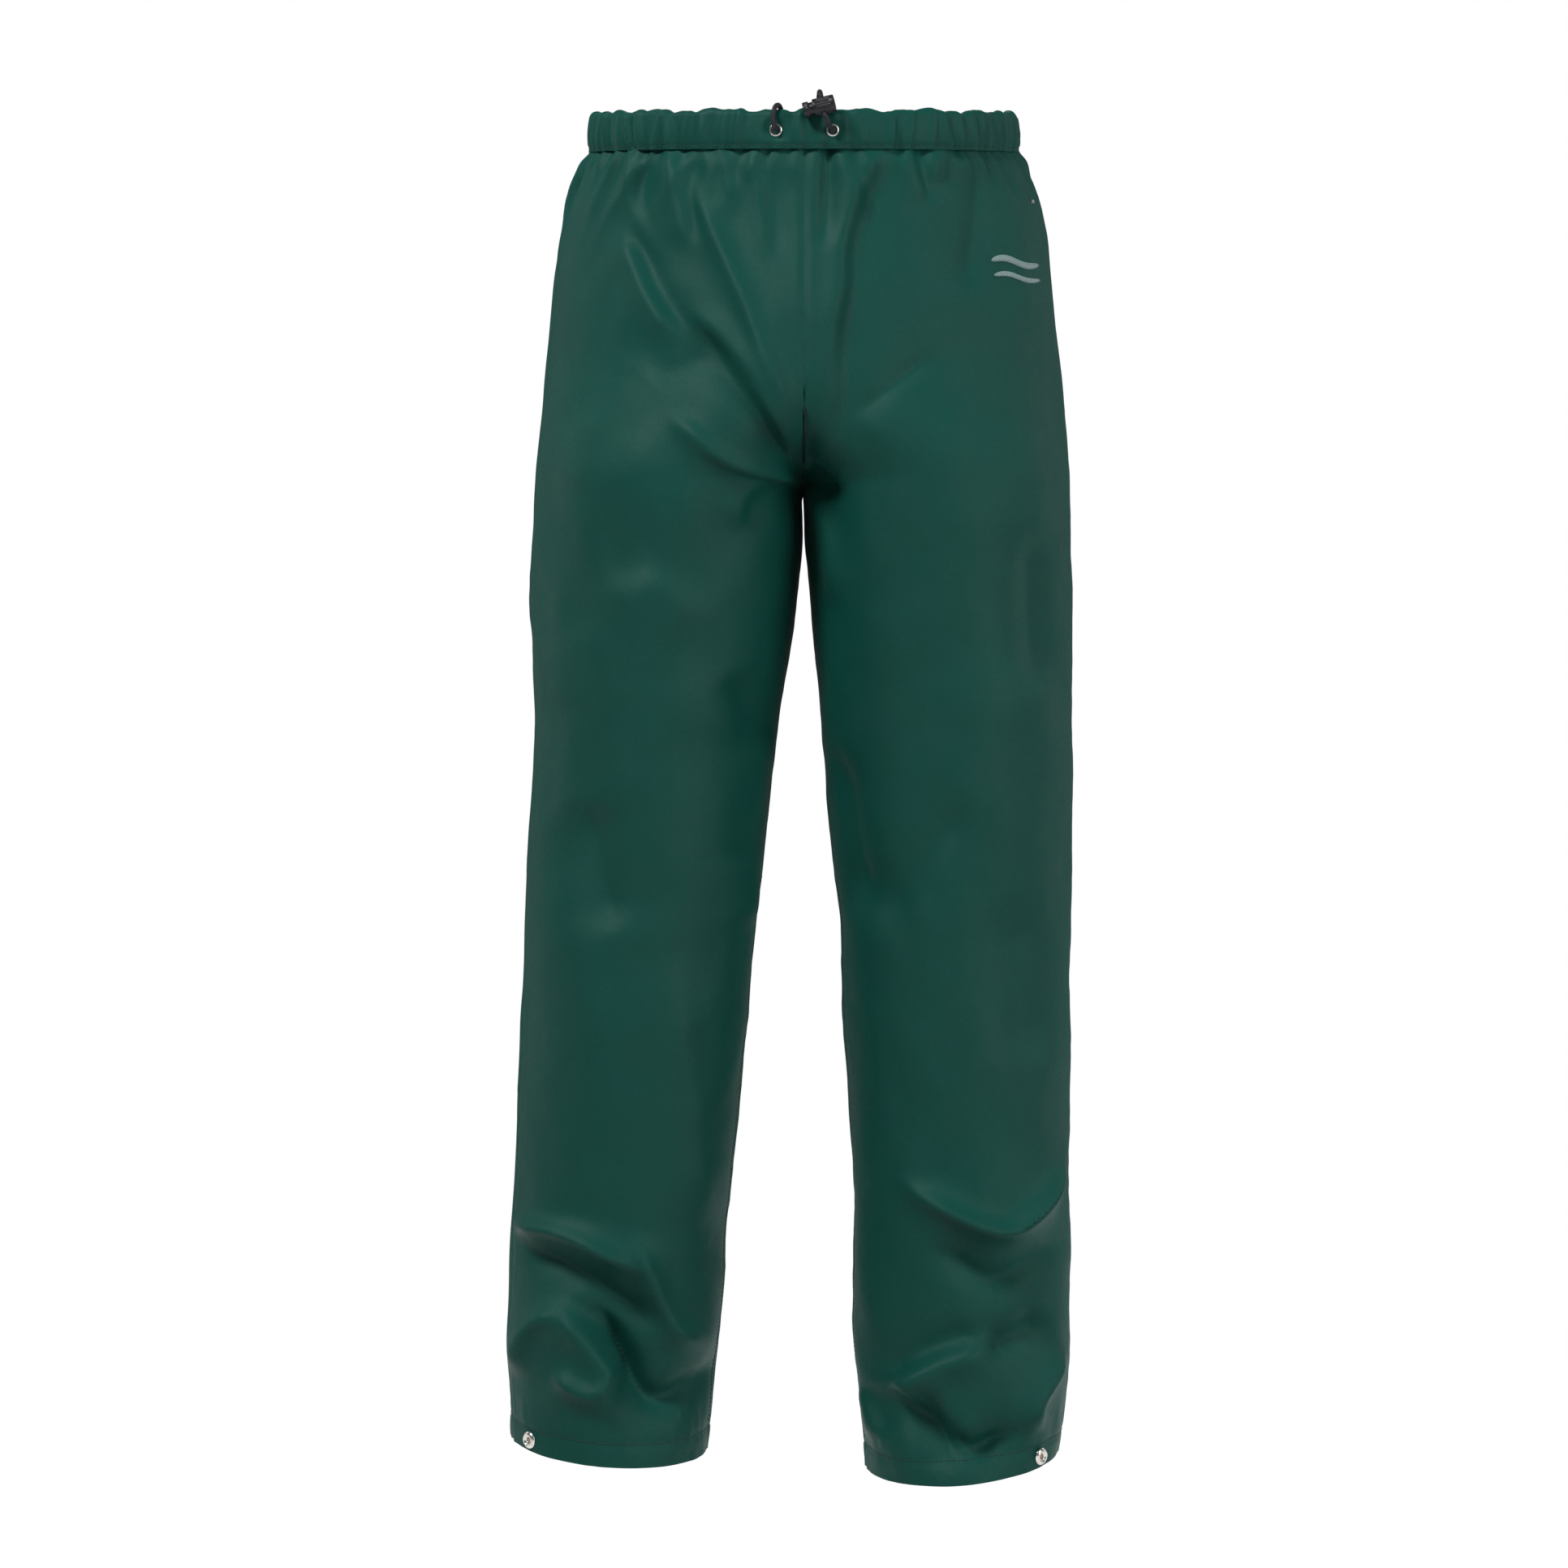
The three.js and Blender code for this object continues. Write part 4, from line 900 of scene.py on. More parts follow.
def gathers(angle, z):
    """Outward height of the tucks, at angles round the waist from the centre front and the band's heights."""
    total = np.zeros(np.broadcast(angle, z).shape)
    above = z + BAND_H
    for place_at, slope, width, height, reach, lean in GATHERS:
        distance = (angle - place_at + math.pi) % (2 * math.pi) - math.pi
        below = np.clip(-above / reach, 0, 1)
        spread = width * (1 + 2.2 * below)
        u = (distance * GATHER_R + slope * above * np.where(above > 0, 0.5, 0.9)) / spread
        up = np.where(above > 0, 1 - 0.35 * lean * above / BAND_H, (1 - below) ** 1.5)
        total += height * up * (np.exp(-u * u) - 0.45 * np.exp(-((u - 1.5) ** 2)))
    return total


# ---------------------------------------------------------------- cloth simulation
def weld(grid):
    """Vertex numbers for both legs' grids, with the seams joined, and how many there are."""
    numbers = {}
    count = 0
    for side in ("left", "right"):
        n = np.zeros((grid.rows, grid.columns + 1), np.int64)
        for r in range(grid.rows):
            for c in range(grid.columns + 1):
                edge = c in (0, grid.columns)
                if side == "right" and edge and r <= grid.above:
                    n[r, c] = numbers["left"][r, c]
                elif c == grid.columns and r >= grid.above:
                    n[r, c] = n[r, 0]
                else:
                    n[r, c] = count
                    count += 1
        numbers[side] = n
    return numbers, count


def side_faces(numbers, side):
    """The faces of one side's grid, where a quad that the welding has closed up becomes a triangle."""
    a, b = numbers[:-1, :-1], numbers[:-1, 1:]
    c, d = numbers[1:, 1:], numbers[1:, :-1]
    order = (a, d, c, b) if side == "left" else (a, b, c, d)
    quads = np.stack(order, -1).reshape(-1, 4)
    return [q[np.sort(np.unique(q, return_index=True)[1])] for q in quads]


CLOTH_SETTINGS = dict(
    quality=5, mass=0.12, air_damping=2.0,
    tension_stiffness=14, compression_stiffness=14, shear_stiffness=8,
    bending_model="ANGULAR", bending_stiffness=5,
    tension_damping=8, compression_damping=8, shear_damping=8, bending_damping=2,
    vertex_group_mass="hold", pin_stiffness=1.0, vertex_group_shrink="grow", shrink_min=0.0, shrink_max=-0.06,
)
SETTLE_FRAMES = 24


def held(z):
    """How firmly the cloth is held: wholly at the band, a little at the hem, and hardly in between."""
    w = 0.10 + 0.90 * smoothstep((z + 0.050) / 0.016) + 0.10 * smoothstep((HEM + 0.030 - z) / 0.030)
    return np.clip(w, 0, 1)


def slack(grid, x):
    """How much spare cloth there is: most above the hems, some at the crotch, waist and back of the knees."""
    z = grid.z
    near = smoothstep((-0.86 - z) / 0.06) * smoothstep((z - HEM - 0.012) / 0.03)
    near = np.maximum(near, 0.55 * np.exp(-(np.hypot(x, z - CROTCH) / 0.10) ** 2))
    near = np.maximum(near, 0.45 * smoothstep((z + 0.16) / 0.10))
    return np.maximum(near, 0.25 * np.exp(-((z + 0.66) / 0.10) ** 2) * smoothstep(-grid.t * 4))


def settle(grid, start):
    """The cloth's places after it has buckled and settled, for each side."""
    numbers, count = weld(grid)
    points, hold, grow = np.zeros((count, 3)), np.zeros(count), np.zeros(count)
    for side in ("left", "right"):
        points[numbers[side]] = start[side]
        hold[numbers[side]] = held(grid.z)
        grow[numbers[side]] = slack(grid, start[side][..., 0])
    faces = side_faces(numbers["left"], "left") + side_faces(numbers["right"], "right")
    sheet = mesh_object("settling", points, faces, CLOTH_MAT)
    for name, weights in (("hold", hold), ("grow", grow)):
        group = sheet.vertex_groups.new(name=name)
        for i, w in enumerate(weights):
            group.add([i], float(w), "REPLACE")
    cloth = sheet.modifiers.new("cloth", "CLOTH")
    for key, value in CLOTH_SETTINGS.items():
        setattr(cloth.settings, key, value)
    cloth.settings.effector_weights.gravity = 0.0
    cloth.collision_settings.use_self_collision = False
    cloth.collision_settings.use_collision = False
    cloth.point_cache.frame_start = 1
    cloth.point_cache.frame_end = SETTLE_FRAMES
    scene = bpy.context.scene
    for frame_number in range(1, SETTLE_FRAMES + 1):
        scene.frame_set(frame_number)
    result = sheet.evaluated_get(bpy.context.evaluated_depsgraph_get()).data
    moved = np.empty(count * 3)
    result.vertices.foreach_get("co", moved)
    moved = moved.reshape(-1, 3)
    scene.frame_set(1)
    bpy.data.objects.remove(sheet)
    return {side: moved[numbers[side]] for side in numbers}


def upsampled(values, rows, columns):
    """A smooth (cubic) enlargement of a grid of vectors to that many rows and columns."""
    for axis, size in ((0, rows), (1, columns)):
        n = values.shape[axis]
        at = np.linspace(0, n - 1, size)
        i = np.clip(at.astype(int), 0, n - 2)
        shape = [1] * values.ndim
        shape[axis] = size
        t = (at - i).reshape(shape)
        values = between(*(np.take(values, np.clip(i + k, 0, n - 1), axis) for k in (-1, 0, 1, 2)), t)
    return values


COARSE = Grid(40, 110, 88)
FINE = Grid(80, 220, 176)
LIMIT = 0.014  # how far the simulation may move the cloth
TUCK = 0.0052  # height of the tallest tuck below the waistband
TUCKED_IN = 0.0042  # how far the cloth's top edge lies inside the waistband's foot
CORD_ROOM = 0.006  # how far the cloth may sink in front of the hanging cord


def joined(field):
    """Makes the two sides agree where they are sewn together, and each leg's edges agree along its inseam."""
    below = next(iter(field.values())).shape[0] * COARSE.above // (COARSE.rows - 1) + 1
    for points in field.values():
        points[below:, 0] = points[below:, -1] = (points[below:, 0] + points[below:, -1]) / 2
    left, right = field["left"], field["right"]
    for column in (0, -1):
        mean = (left[:below, column] + right[:below, column]) / 2
        mean[:, 0] = 0
        left[:below, column] = right[:below, column] = mean
    return field


def blurred(values, passes):
    """The grid of vectors with its finest crinkles evened out."""
    for _ in range(passes):
        for axis in (0, 1):
            n = values.shape[axis]
            before, after = (np.take(values, np.clip(np.arange(n) + k, 0, n - 1), axis) for k in (-1, 1))
            values = (before + 2 * values + after) / 4
    return values


def shaped(grid, side, placed):
    """The draped surface over a grid: soft dents and tucks, and the placed folds where asked for."""
    base = grid.base(side)
    height = dents(base) + TUCK * gathers(SIGN[side] * grid.waist, grid.z)
    if placed:
        height = height + folds(grid, base)
    # The cord hangs close behind the front, so the cloth stays off it there.
    near_cord = (np.abs(base[..., 0]) < 0.05) & (base[..., 2] > -0.20) & (base[..., 1] < 0)
    height = np.where(near_cord, np.maximum(height, -CORD_ROOM), height)
    height = blurred(height - TUCKED_IN * smoothstep((grid.z + 0.039) / 0.009), 1)
    return base + grid.normals(side, base) * height[..., None]


def dressed():
    """The outer surface of both sides over the fine grid."""
    sides = ("left", "right")
    start = joined({side: shaped(COARSE, side, False) for side in sides})
    final = settle(COARSE, start)
    out = {}
    for side in sides:
        move = blurred(final[side] - start[side], 2)
        size = np.linalg.norm(move, axis=-1)[..., None]
        move = move * LIMIT * np.tanh(size / LIMIT) / np.maximum(size, 1e-9)
        out[side] = shaped(FINE, side, True) + upsampled(move, FINE.rows, FINE.columns + 1)
    return joined(out)


SURFACE = dressed()
SEAM_SHIFT = {"left": 0.0, "right": 0.023}  # how far forward of the leg's outer line each side seam lies
INSEAM_STITCH = 0.010  # from the inseam to its line of stitches
HEM_STITCH = 0.0180  # from the hem to its line of stitches
SEAM_GROOVE = 0.0022  # half width of a seam's groove


def seam_relief(grid, side, points):
    """Fine relief laid on the settled cloth: the sewn seams and the hem's stitch line, with their puckers. It
    comes with the distance round the leg from its outer line, which is negative over the front."""
    run = np.zeros(grid.t.shape)
    middle = grid.columns // 2
    step = np.linalg.norm(np.diff(points, axis=1), axis=-1)
    run[:, middle + 1:] = np.cumsum(step[:, middle:], axis=1)
    run[:, :middle] = -np.cumsum(step[:, :middle][:, ::-1], axis=1)[:, ::-1]
    z = grid.z
    pucker = 1 + 0.5 * value_noise(points, 120, 3)
    relief = 0.0
    hem = z - HEM - HEM_STITCH
    topstitch = (run - run[:, :1] - INSEAM_STITCH) / smoothstep((-0.60 - z) / 0.03).clip(0.05)
    relief = relief - 0.0007 * pucker * np.exp(-(topstitch / SEAM_GROOVE) ** 2)
    for line in (run + SEAM_SHIFT[side], run - run[:, :1], run - run[:, -1:]):
        relief = relief - 0.0011 * pucker * np.exp(-(line / SEAM_GROOVE) ** 2)
        relief = relief + 0.0005 * pucker * np.exp(-((np.abs(line) - 0.006) / 0.003) ** 2)
    relief = relief - 0.0009 * pucker * np.exp(-(hem / SEAM_GROOVE) ** 2)
    at_hem = smoothstep((0.03 - np.abs(hem)) / 0.02)
    relief = relief + 0.0006 * value_noise(points * (1, 1, 0.3), 160, 4) * at_hem
    at_band = smoothstep((0.025 + BAND_H + z) / 0.02)
    relief = relief + 0.0006 * value_noise(points * (1, 1, 0.2), 190, 6) * at_band
    return relief, run


NORMALS, RUN = {}, {}
for side, points in SURFACE.items():
    points += FINE.normals(side, points) * seam_relief(FINE, side, points)[0][..., None]
    points[: FINE.above + 1, [0, -1], 0] = 0
    NORMALS[side] = FINE.normals(side, points)
    RUN[side] = seam_relief(FINE, side, points)[1]

SPLIT_ROW = FINE.above + int(round((CROTCH - SPLIT) / (CROTCH - HEM) * FINE.below))
THICK = 0.0006
TAPE_THICK = 0.0003
TAPE_HALF = 0.010


def leg_piece(name, side, first, last):
    """One stretch of cloth as a closed thin shell: an outer face, and an inner face with the seam tapes."""
    outer, normal = SURFACE[side][first:last + 1], NORMALS[side][first:last + 1]
    run = RUN[side][first:last + 1]
    edge = np.minimum(np.abs(run + SEAM_SHIFT[side]), np.minimum(run - run[:, :1], run[:, -1:] - run))
    taped = edge < TAPE_HALF
    inner = outer - normal * (THICK + TAPE_THICK * taped)[..., None]
    rows, columns = outer.shape[:2]
    count = rows * columns
    plain = np.arange(count).reshape(rows, columns)
    quads = np.stack([plain[:-1, :-1], plain[1:, :-1], plain[1:, 1:], plain[:-1, 1:]], -1).reshape(-1, 4)
    open_rows = max(0, FINE.above - first)
    border = list(plain[0]) + ([] if open_rows else [plain[0, 0]])
    rims = [border, list(plain[-1][::-1])]
    if open_rows:
        rims += [list(plain[: open_rows + 1, -1]), list(plain[: open_rows + 1, 0][::-1])]
    faces = np.concatenate([quads, quads[:, ::-1] + count]
                           + [np.array([(a, b, b + count, a + count) for a, b in zip(rim, rim[1:]) if a != b])
                              for rim in rims])
    if side == "right":
        faces = faces[:, ::-1]
    kinds = [0] * len(quads) + (1 + (taped[:-1, :-1] & taped[1:, 1:]).ravel()).tolist()
    kinds += [0] * (len(faces) - len(kinds))
    # The inseam's two edges are one line of points.
    welded = plain.copy()
    welded[open_rows:, -1] = welded[open_rows:, 0]
    welded = np.concatenate([welded.ravel(), welded.ravel() + count])
    kept, numbers = np.unique(welded, return_inverse=True)
    shapes = numbers[faces]
    proper = np.array([len(set(f)) == 4 for f in shapes.tolist()])
    points = np.concatenate([outer.reshape(-1, 3), inner.reshape(-1, 3)])[kept]
    normals = np.concatenate([normal.reshape(-1, 3), -normal.reshape(-1, 3)])[kept]
    uvs = np.tile(np.stack([run, outer[..., 2]], -1).reshape(-1, 2), (2, 1))
    return mesh_object(name, points, shapes[proper], [CLOTH_MAT, INSIDE_MAT, TAPE_MAT],
                       np.array(kinds)[proper], uvs, normals=normals, corners=faces[proper].ravel())


for side in ("left", "right"):
    upper = leg_piece(f"{side}_seat_and_thigh", side, 0, SPLIT_ROW)
    lower = leg_piece(f"{side}_knee_and_shin", side, SPLIT_ROW, FINE.rows - 1)
    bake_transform(upper)
    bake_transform(lower)
    nodes = [f"{side}_{face}_panel_{part}" for face in ("front", "back") for part in ("seat", "hip", "thigh")]
    tapes = [f"{side}_side_seam_tape_seat", f"{side}_side_seam_tape_thigh", f"{side}_inseam_tape_thigh"]
    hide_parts(*nodes, *tapes, *(["front_rise_tape", "back_rise_tape"] if side == "left" else []))
    nodes = [f"{side}_{face}_panel_{part}" for face in ("front", "back") for part in ("knee", "shin")]
    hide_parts(*nodes, f"{side}_side_seam_tape_shin", f"{side}_inseam_tape_shin")

# ---------------------------------------------------------------- waistband
BAND_COLUMNS = 480


def band_place(angle, inset, z):
    """A point of the waistband in the row frame."""
    y = -(WAIST_D - inset) * np.cos(angle)
    x = (WAIST_W - inset) * np.sin(angle)
    z = z + np.zeros_like(x)
    c, s = math.cos(TILT), math.sin(TILT)
    return np.stack([x, y * c - z * s, y * s + z * c], -1)


EYELET_ANGLE = 2 * math.pi / 48
EYELET_DOWN = 0.016  # below the band's top fold
BAND_TUCK = 0.0030  # height of the tallest tuck on the waistband
BAND_STITCH = 0.0022  # from the band's foot to its line of stitches
BAND_SINK = 0.0004  # how far a tuck may sink into the band's wall


def flat_patch(angle, z):
    """How flat the band is pressed round the eyelets."""
    total = np.zeros(np.broadcast(angle, z).shape)
    for at in (EYELET_ANGLE, -EYELET_ANGLE):
        d = np.hypot((angle - at) * WAIST_W, z + EYELET_DOWN)
        total = np.maximum(total, 1 - smoothstep((d - 0.0058) / 0.006))
    return total


def waistband():
    """A thin shell: up the outer wall, over the top fold, down the inner wall and back to the seam."""
    half = BAND_T / 2
    path = [(0.0, z) for z in np.linspace(-BAND_H - 0.0006, -half, 16)]
    path += [(half - half * math.cos(a), -half + half * math.sin(a)) for a in np.linspace(0, math.pi, 15)[1:]]
    path += [(BAND_T, z) for z in np.linspace(-half, -BAND_H, 14)[1:]]
    path += [(BAND_T - 0.001, -BAND_H - 0.0008), (BAND_T / 2, -BAND_H - 0.0002), (0.0014, -BAND_H)]
    path = np.array(path)
    ahead = unit(np.gradient(path, axis=0))
    within = path + THICK * np.stack([ahead[:, 1], -ahead[:, 0]], 1)
    outline = np.concatenate([path, within[::-1]])
    angle = np.linspace(-math.pi, math.pi, BAND_COLUMNS + 1)
    a, i = np.meshgrid(angle, outline[:, 0], indexing="ij")
    _, z = np.meshgrid(angle, outline[:, 1], indexing="ij")
    tuck = gathers(a, z) * (1 - flat_patch(a, z))
    outward = np.clip(1 - i / BAND_T * 2, -0.25, 1)
    stitch = np.exp(-((z + BAND_H - BAND_STITCH) / 0.0016) ** 2) * 0.0010
    puff = 0.0012 * np.sin(np.clip((z + BAND_H) / (BAND_H - half), 0, 1) * math.pi) * (1 - flat_patch(a, z))
    grown = np.maximum(-BAND_SINK, BAND_TUCK * tuck + puff) - stitch
    top = smoothstep((z + half) / half)
    wave = 0.0011 * np.sin(a * 23 + 2 * np.sin(a * 5)) + 0.0008 * np.sin(a * 41 + 1.3) + 0.0012 * tuck
    points = band_place(a, i - outward * grown, z + top * wave * (1 - flat_patch(a, z * 0 - EYELET_DOWN)))
    faces = grid_faces(BAND_COLUMNS + 1, len(outline), wrap_columns=True)
    count = BAND_COLUMNS * len(outline)
    uvs = np.stack([a * GATHER_R, z], -1).reshape(-1, 2)
    points, corners = points.reshape(-1, 3)[:count], faces.ravel()
    return turned_out(mesh_object("waistband", points, faces % count, CLOTH_MAT, uvs=uvs, corners=corners))


band = waistband()
fit(band, "waist", "cloth", "waistband_casing")
for node, material in (("waist_elastic", ELASTIC_MAT), ("drawcord", CORD_MAT)):
    data = frame["nodes"][node].data
    data.materials.clear()
    data.materials.append(material)

# ---------------------------------------------------------------- eyelets and washers
# The outlines of turned pieces are (radius, height) in millimetres, with the height along the outward axis.
EYELET_NORMAL = {"left": (0.0877, -0.9961, 0), "right": (-0.0877, -0.9961, 0)}
EYELET_AT = {"left": (0.0221, -0.1138, -EYELET_DOWN), "right": (-0.0221, -0.1138, -EYELET_DOWN)}
EYELET_OUTLINE = metres((2.55, -2.2), (3.1, -2.3), (3.05, 0.4), (4.4, 0.3), (5, 0.5), (4.95, 0.9),
                        (4.3, 1.25), (3.6, 1.3), (3, 0.85), (2.6, 0.2))
WASHER_OUTLINE = metres((3.4, -2.3), (4.8, -2.3), (5, -2.1), (4.8, -1.9), (3.4, -1.9))
for side in ("left", "right"):
    at, normal = BAND @ Vector(EYELET_AT[side]), BAND @ Vector(EYELET_NORMAL[side])
    for name, outline in ((f"{side}_eyelet", EYELET_OUTLINE), (f"{side}_eyelet_washer", WASHER_OUTLINE)):
        piece = place(lathe(name + "_turned", rounded(outline, 0.00025), NICKEL_MAT), at, normal)
        fit(piece, "waist", "nickel", name)

# ---------------------------------------------------------------- hems and their press fasteners
FACING_H = 0.020
FACING_GAP = 0.0011  # from the cloth's outer face to the turned-up edge


def surface_at(side, row, column):
    """Cloth place and normal between grid points, for a row and column given as real numbers."""
    r, c = np.clip(int(row), 0, FINE.rows - 2), int(column) % FINE.columns
    u, v = np.clip(row - r, 0, 1), column - int(column)
    at, normal = ((field[r, c] * (1 - u) + field[r + 1, c] * u) * (1 - v)
                  + (field[r, c + 1] * (1 - u) + field[r + 1, c + 1] * u) * v
                  for field in (SURFACE[side], NORMALS[side]))
    return Vector(at), Vector(normal).normalized()


def hem_facing(side):
    """The hem's turned-up edge inside the leg."""
    rows_up = FACING_H / (CROTCH - HEM) * FINE.below
    rows = np.linspace(FINE.rows - 1, FINE.rows - 1 - rows_up, 8)
    layers = [(FACING_GAP, rows), (FACING_GAP + THICK, rows[::-1])]
    points = []
    for inset, levels in layers:
        for row, column in itertools.product(levels, range(FINE.columns)):
            at, normal = surface_at(side, row, column)
            points.append(at - normal * inset)
    faces = grid_faces(2 * len(rows), FINE.columns, wrap_rows=True, wrap_columns=True)
    return turned_out(mesh_object(f"{side}_hem_turn_up", points, faces, INSIDE_MAT))


CAP = metres((2, 0), (6.4, 0), (7, 0.6), (6.9, 1.3), (6.2, 2.1), (5.3, 2.8), (4.6, 3), (4, 2.8),
             (3.6, 2.1), (3.1, 1.7), (2.2, 1.6))
STUD = metres((2, 0), (6.4, 0), (7, 0.5), (6.6, 0.9), (4.6, 0.9), (3.6, 1.2), (3.2, 1.6), (3.3, 2.4),
              (3.4, 2.9), (3, 3), (2.4, 3), (2.2, 2.6))
POST = metres((0.05, 1.1), (1.2, 1.3), (1.8, 1.1), (1.9, 0.6), (1.9, -4.1), (6, -4.1), (6, -4.6),
              (5, -5.1), (2.2, -5.1), (1.6, -4.6), (0.05, -4.6))
SNAP_BACK = 0.0015  # from a snap's middle to its back
SNAP_RANGE = (-0.004, 0.006)  # how far a snap may be moved to meet the cloth
for side in ("left", "right"):
    fit(hem_facing(side), f"{side}_shin", "cloth", f"{side}_hem_facing")
    cloth = SURFACE[side].reshape(-1, 3)
    for kind, outline in (("socket", CAP), ("stud", STUD)):
        node = f"{side}_hem_{kind}"
        middle, inner = (Vector(np.mean(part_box(name), axis=0)) for name in (node, node + "_post"))
        outward = (middle - inner).normalized()
        nearest = Vector(cloth[np.argmin(((cloth - np.array(middle)) ** 2).sum(1))])
        lift = (nearest - middle).dot(outward)
        base = middle - outward * SNAP_BACK + outward * np.clip(lift + SNAP_BACK, *SNAP_RANGE)
        cap = place(lathe(node + "_turned", rounded(outline, 0.0003), NICKEL_MAT, 64), base, outward)
        post = ribbed(node + "_post_turned", POST, POST_MAT, segments=48)
        turn = Vector((0, 1, 0)).rotation_difference(outward).to_matrix().to_4x4()
        post.data.transform(Matrix.Translation(base) @ turn)
        for piece, replaced in ((cap, node), (post, node + "_post")):
            fit(piece, f"{side}_shin", "nickel", replaced)

# ---------------------------------------------------------------- stitching
def stitches(name, places, normals, body=None, material=THREAD_MAT, length=0.0026, gap=0.0008,
             radius=0.00028):
    """Lockstitches lying along a line on the cloth."""
    run = run_along(places)
    shape = [(t, math.sqrt(max(0.0, 1 - (2 * t - 1) ** 4)) * 0.95 + 0.05) for t in np.linspace(0, 1, 6)]
    sides = 6
    points, faces = [], []
    for start in np.arange(0, run[-1] - length, length + gap):
        at = start + np.array([t for t, _ in shape]) * length
        p, m = (np.stack([np.interp(at, run, values) for values in field.T], 1) for field in (places, normals))
        along = (p[-1] - p[0]) / max(np.linalg.norm(p[-1] - p[0]), 1e-9)
        faces += [[i + len(points) for i in f] for f in capped_faces(len(shape), sides)]
        for (t, swell), q, up in zip(shape, p, m):
            across = np.cross(along, up)
            arch = radius * (0.2 + 0.9 * math.sin(math.pi * t))
            for k in range(sides):
                a = 2 * math.pi * k / sides
                points.append(q + up * (arch + radius * swell * math.sin(a))
                              + across * radius * swell * math.cos(a))
    piece = turned_out(mesh_object(name, points, faces, material))
    if body:
        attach(piece, body)
    return piece


INSEAM_ROWS = (SPLIT_ROW + 10, FINE.rows - 6)
HEM_ROW = FINE.rows - 1 - HEM_STITCH / (CROTCH - HEM) * FINE.below
for side in ("left", "right"):
    line = [surface_at(side, HEM_ROW, c) for c in np.arange(0, FINE.columns + 0.001, 0.5)]
    stitches(f"{side}_hem_stitches", *(np.array(part) for part in zip(*line)), f"{side}_shin")
    line = []
    for row in range(*INSEAM_ROWS):
        run = RUN[side][row]
        column = float(np.interp(run[0] + INSEAM_STITCH, run, np.arange(len(run))))
        line.append(surface_at(side, row, column))
    seam = stitches(f"{side}_inseam_stitches", *(np.array(part) for part in zip(*line)))
    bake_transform(seam)
turn = np.linspace(-math.pi, math.pi, 1200)
level = np.full_like(turn, -BAND_H + BAND_STITCH)
tucked = BAND_TUCK * gathers(turn, level) - 0.0005
foot = band_place(turn, -np.maximum(-BAND_SINK, tucked), level)
up = unit(np.cross(np.gradient(foot, axis=0), np.array(BAND @ Vector((0, 0, 1)))))
up = up * np.sign((up * (foot - foot.mean(0))).sum(1))[:, None]
stitches("waistband_stitches", foot, up, "waist")

# ---------------------------------------------------------------- labels, hip mark and bartack
def label(node, curl, columns=36, rows=48, thick=0.0006):
    """A soft blank label with a folded top and turned edges."""
    low, high = (np.array(c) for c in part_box(node))
    width, height = high[0] - low[0], (high[2] - low[2])
    centre = (low + high) / 2
    across, deep, tilt = (np.array(BAND @ Vector(axis)) for axis in ((1, 0, 0), (0, 1, 0), (0, 0, 1)))
    true_height = height / tilt[2]
    points, uvs = [], []
    for layer, v, u in itertools.product((-1, 1), np.linspace(0, 1, rows), np.linspace(-1, 1, columns)):
        edge = max(abs(u) ** 12, abs(2 * v - 1) ** 24)
        wave = curl * (0.6 * math.sin(2.3 * u + 0.5) + 0.8 * u * u) * v * v
        x = width / 2 * u * (1 - 0.012 * v * v)
        drop = -true_height * (v - 0.5)
        off = wave + layer * thick / 2 * (1 + 0.5 * edge)
        points.append(centre + across * x + tilt * drop - deep * off)
        uvs.append((x, drop))
    piece = turned_out(mesh_object(node + "_woven", points, slab_faces(rows, columns), LABEL_MAT, uvs=uvs))
    fit(piece, "waist", "label", node)
    return piece


label("care_label", 0.0028)
size = label("size_label", 0.0011)
size.data.transform(Matrix.Translation(Vector(BAND @ Vector((0, -0.0004, 0)))))  # clear of the care label


def cloth_near(side, x, z):
    """Place and normal of the front cloth nearest to a place seen from the front."""
    grid = SURFACE[side][:, : FINE.columns // 2 + 1]
    r, c = np.unravel_index(np.argmin((grid[..., 0] - x) ** 2 + (grid[..., 2] - z) ** 2), grid.shape[:2])
    near = [(min(max(r + dr, 0), FINE.rows - 1), min(max(c + dc, 0), FINE.columns))
            for dr, dc in ((0, 0), (0, 1), (1, 0), (0, -1), (-1, 0))]
    p, n = (np.array([field[side][at] for at in near]) for field in (SURFACE, NORMALS))
    weight = 1 / ((p[:, 0] - x) ** 2 + (p[:, 2] - z) ** 2 + 1e-8)
    place_at, normal = np.average(p, 0, weight), np.average(n, 0, weight)
    plane = place_at[1] + (normal[0] * (place_at[0] - x) + normal[2] * (place_at[2] - z)) / normal[1]
    return np.array([x, plane, z]), unit(normal)


FILM_FACES = (0.00045, 0.0001)  # how far the film's outer and inner faces lie off the cloth


def film(name, strips):
    """Thin printed strips on the front cloth. Each strip is a grid of (x, z) places."""
    points, faces = [], []
    for strip in strips:
        faces += (slab_faces(*strip.shape[:2]) + len(points)).tolist()
        for lift, (x, z) in itertools.product(FILM_FACES, strip.reshape(-1, 2)):
            at, normal = cloth_near("left", x, z)
            points.append(at + normal * lift)
    return turned_out(mesh_object(name, points, faces, PRINT_MAT))


def wave_bar(x0, x1, z, height, swing):
    """One wave of a bar with blunt ends, as a grid of (x, z) places."""
    u = np.linspace(0, 1, 33)
    v = np.linspace(-1, 1, 4)
    x = x0 + (x1 - x0) * u
    middle = z + swing * np.sin(2 * math.pi * u)
    half = height / 2 * np.sqrt(np.clip(1 - (2 * u - 1) ** 6, 0.02, 1))
    return np.stack([np.broadcast_to(x, (4, 33)), middle + v[:, None] * half], -1)


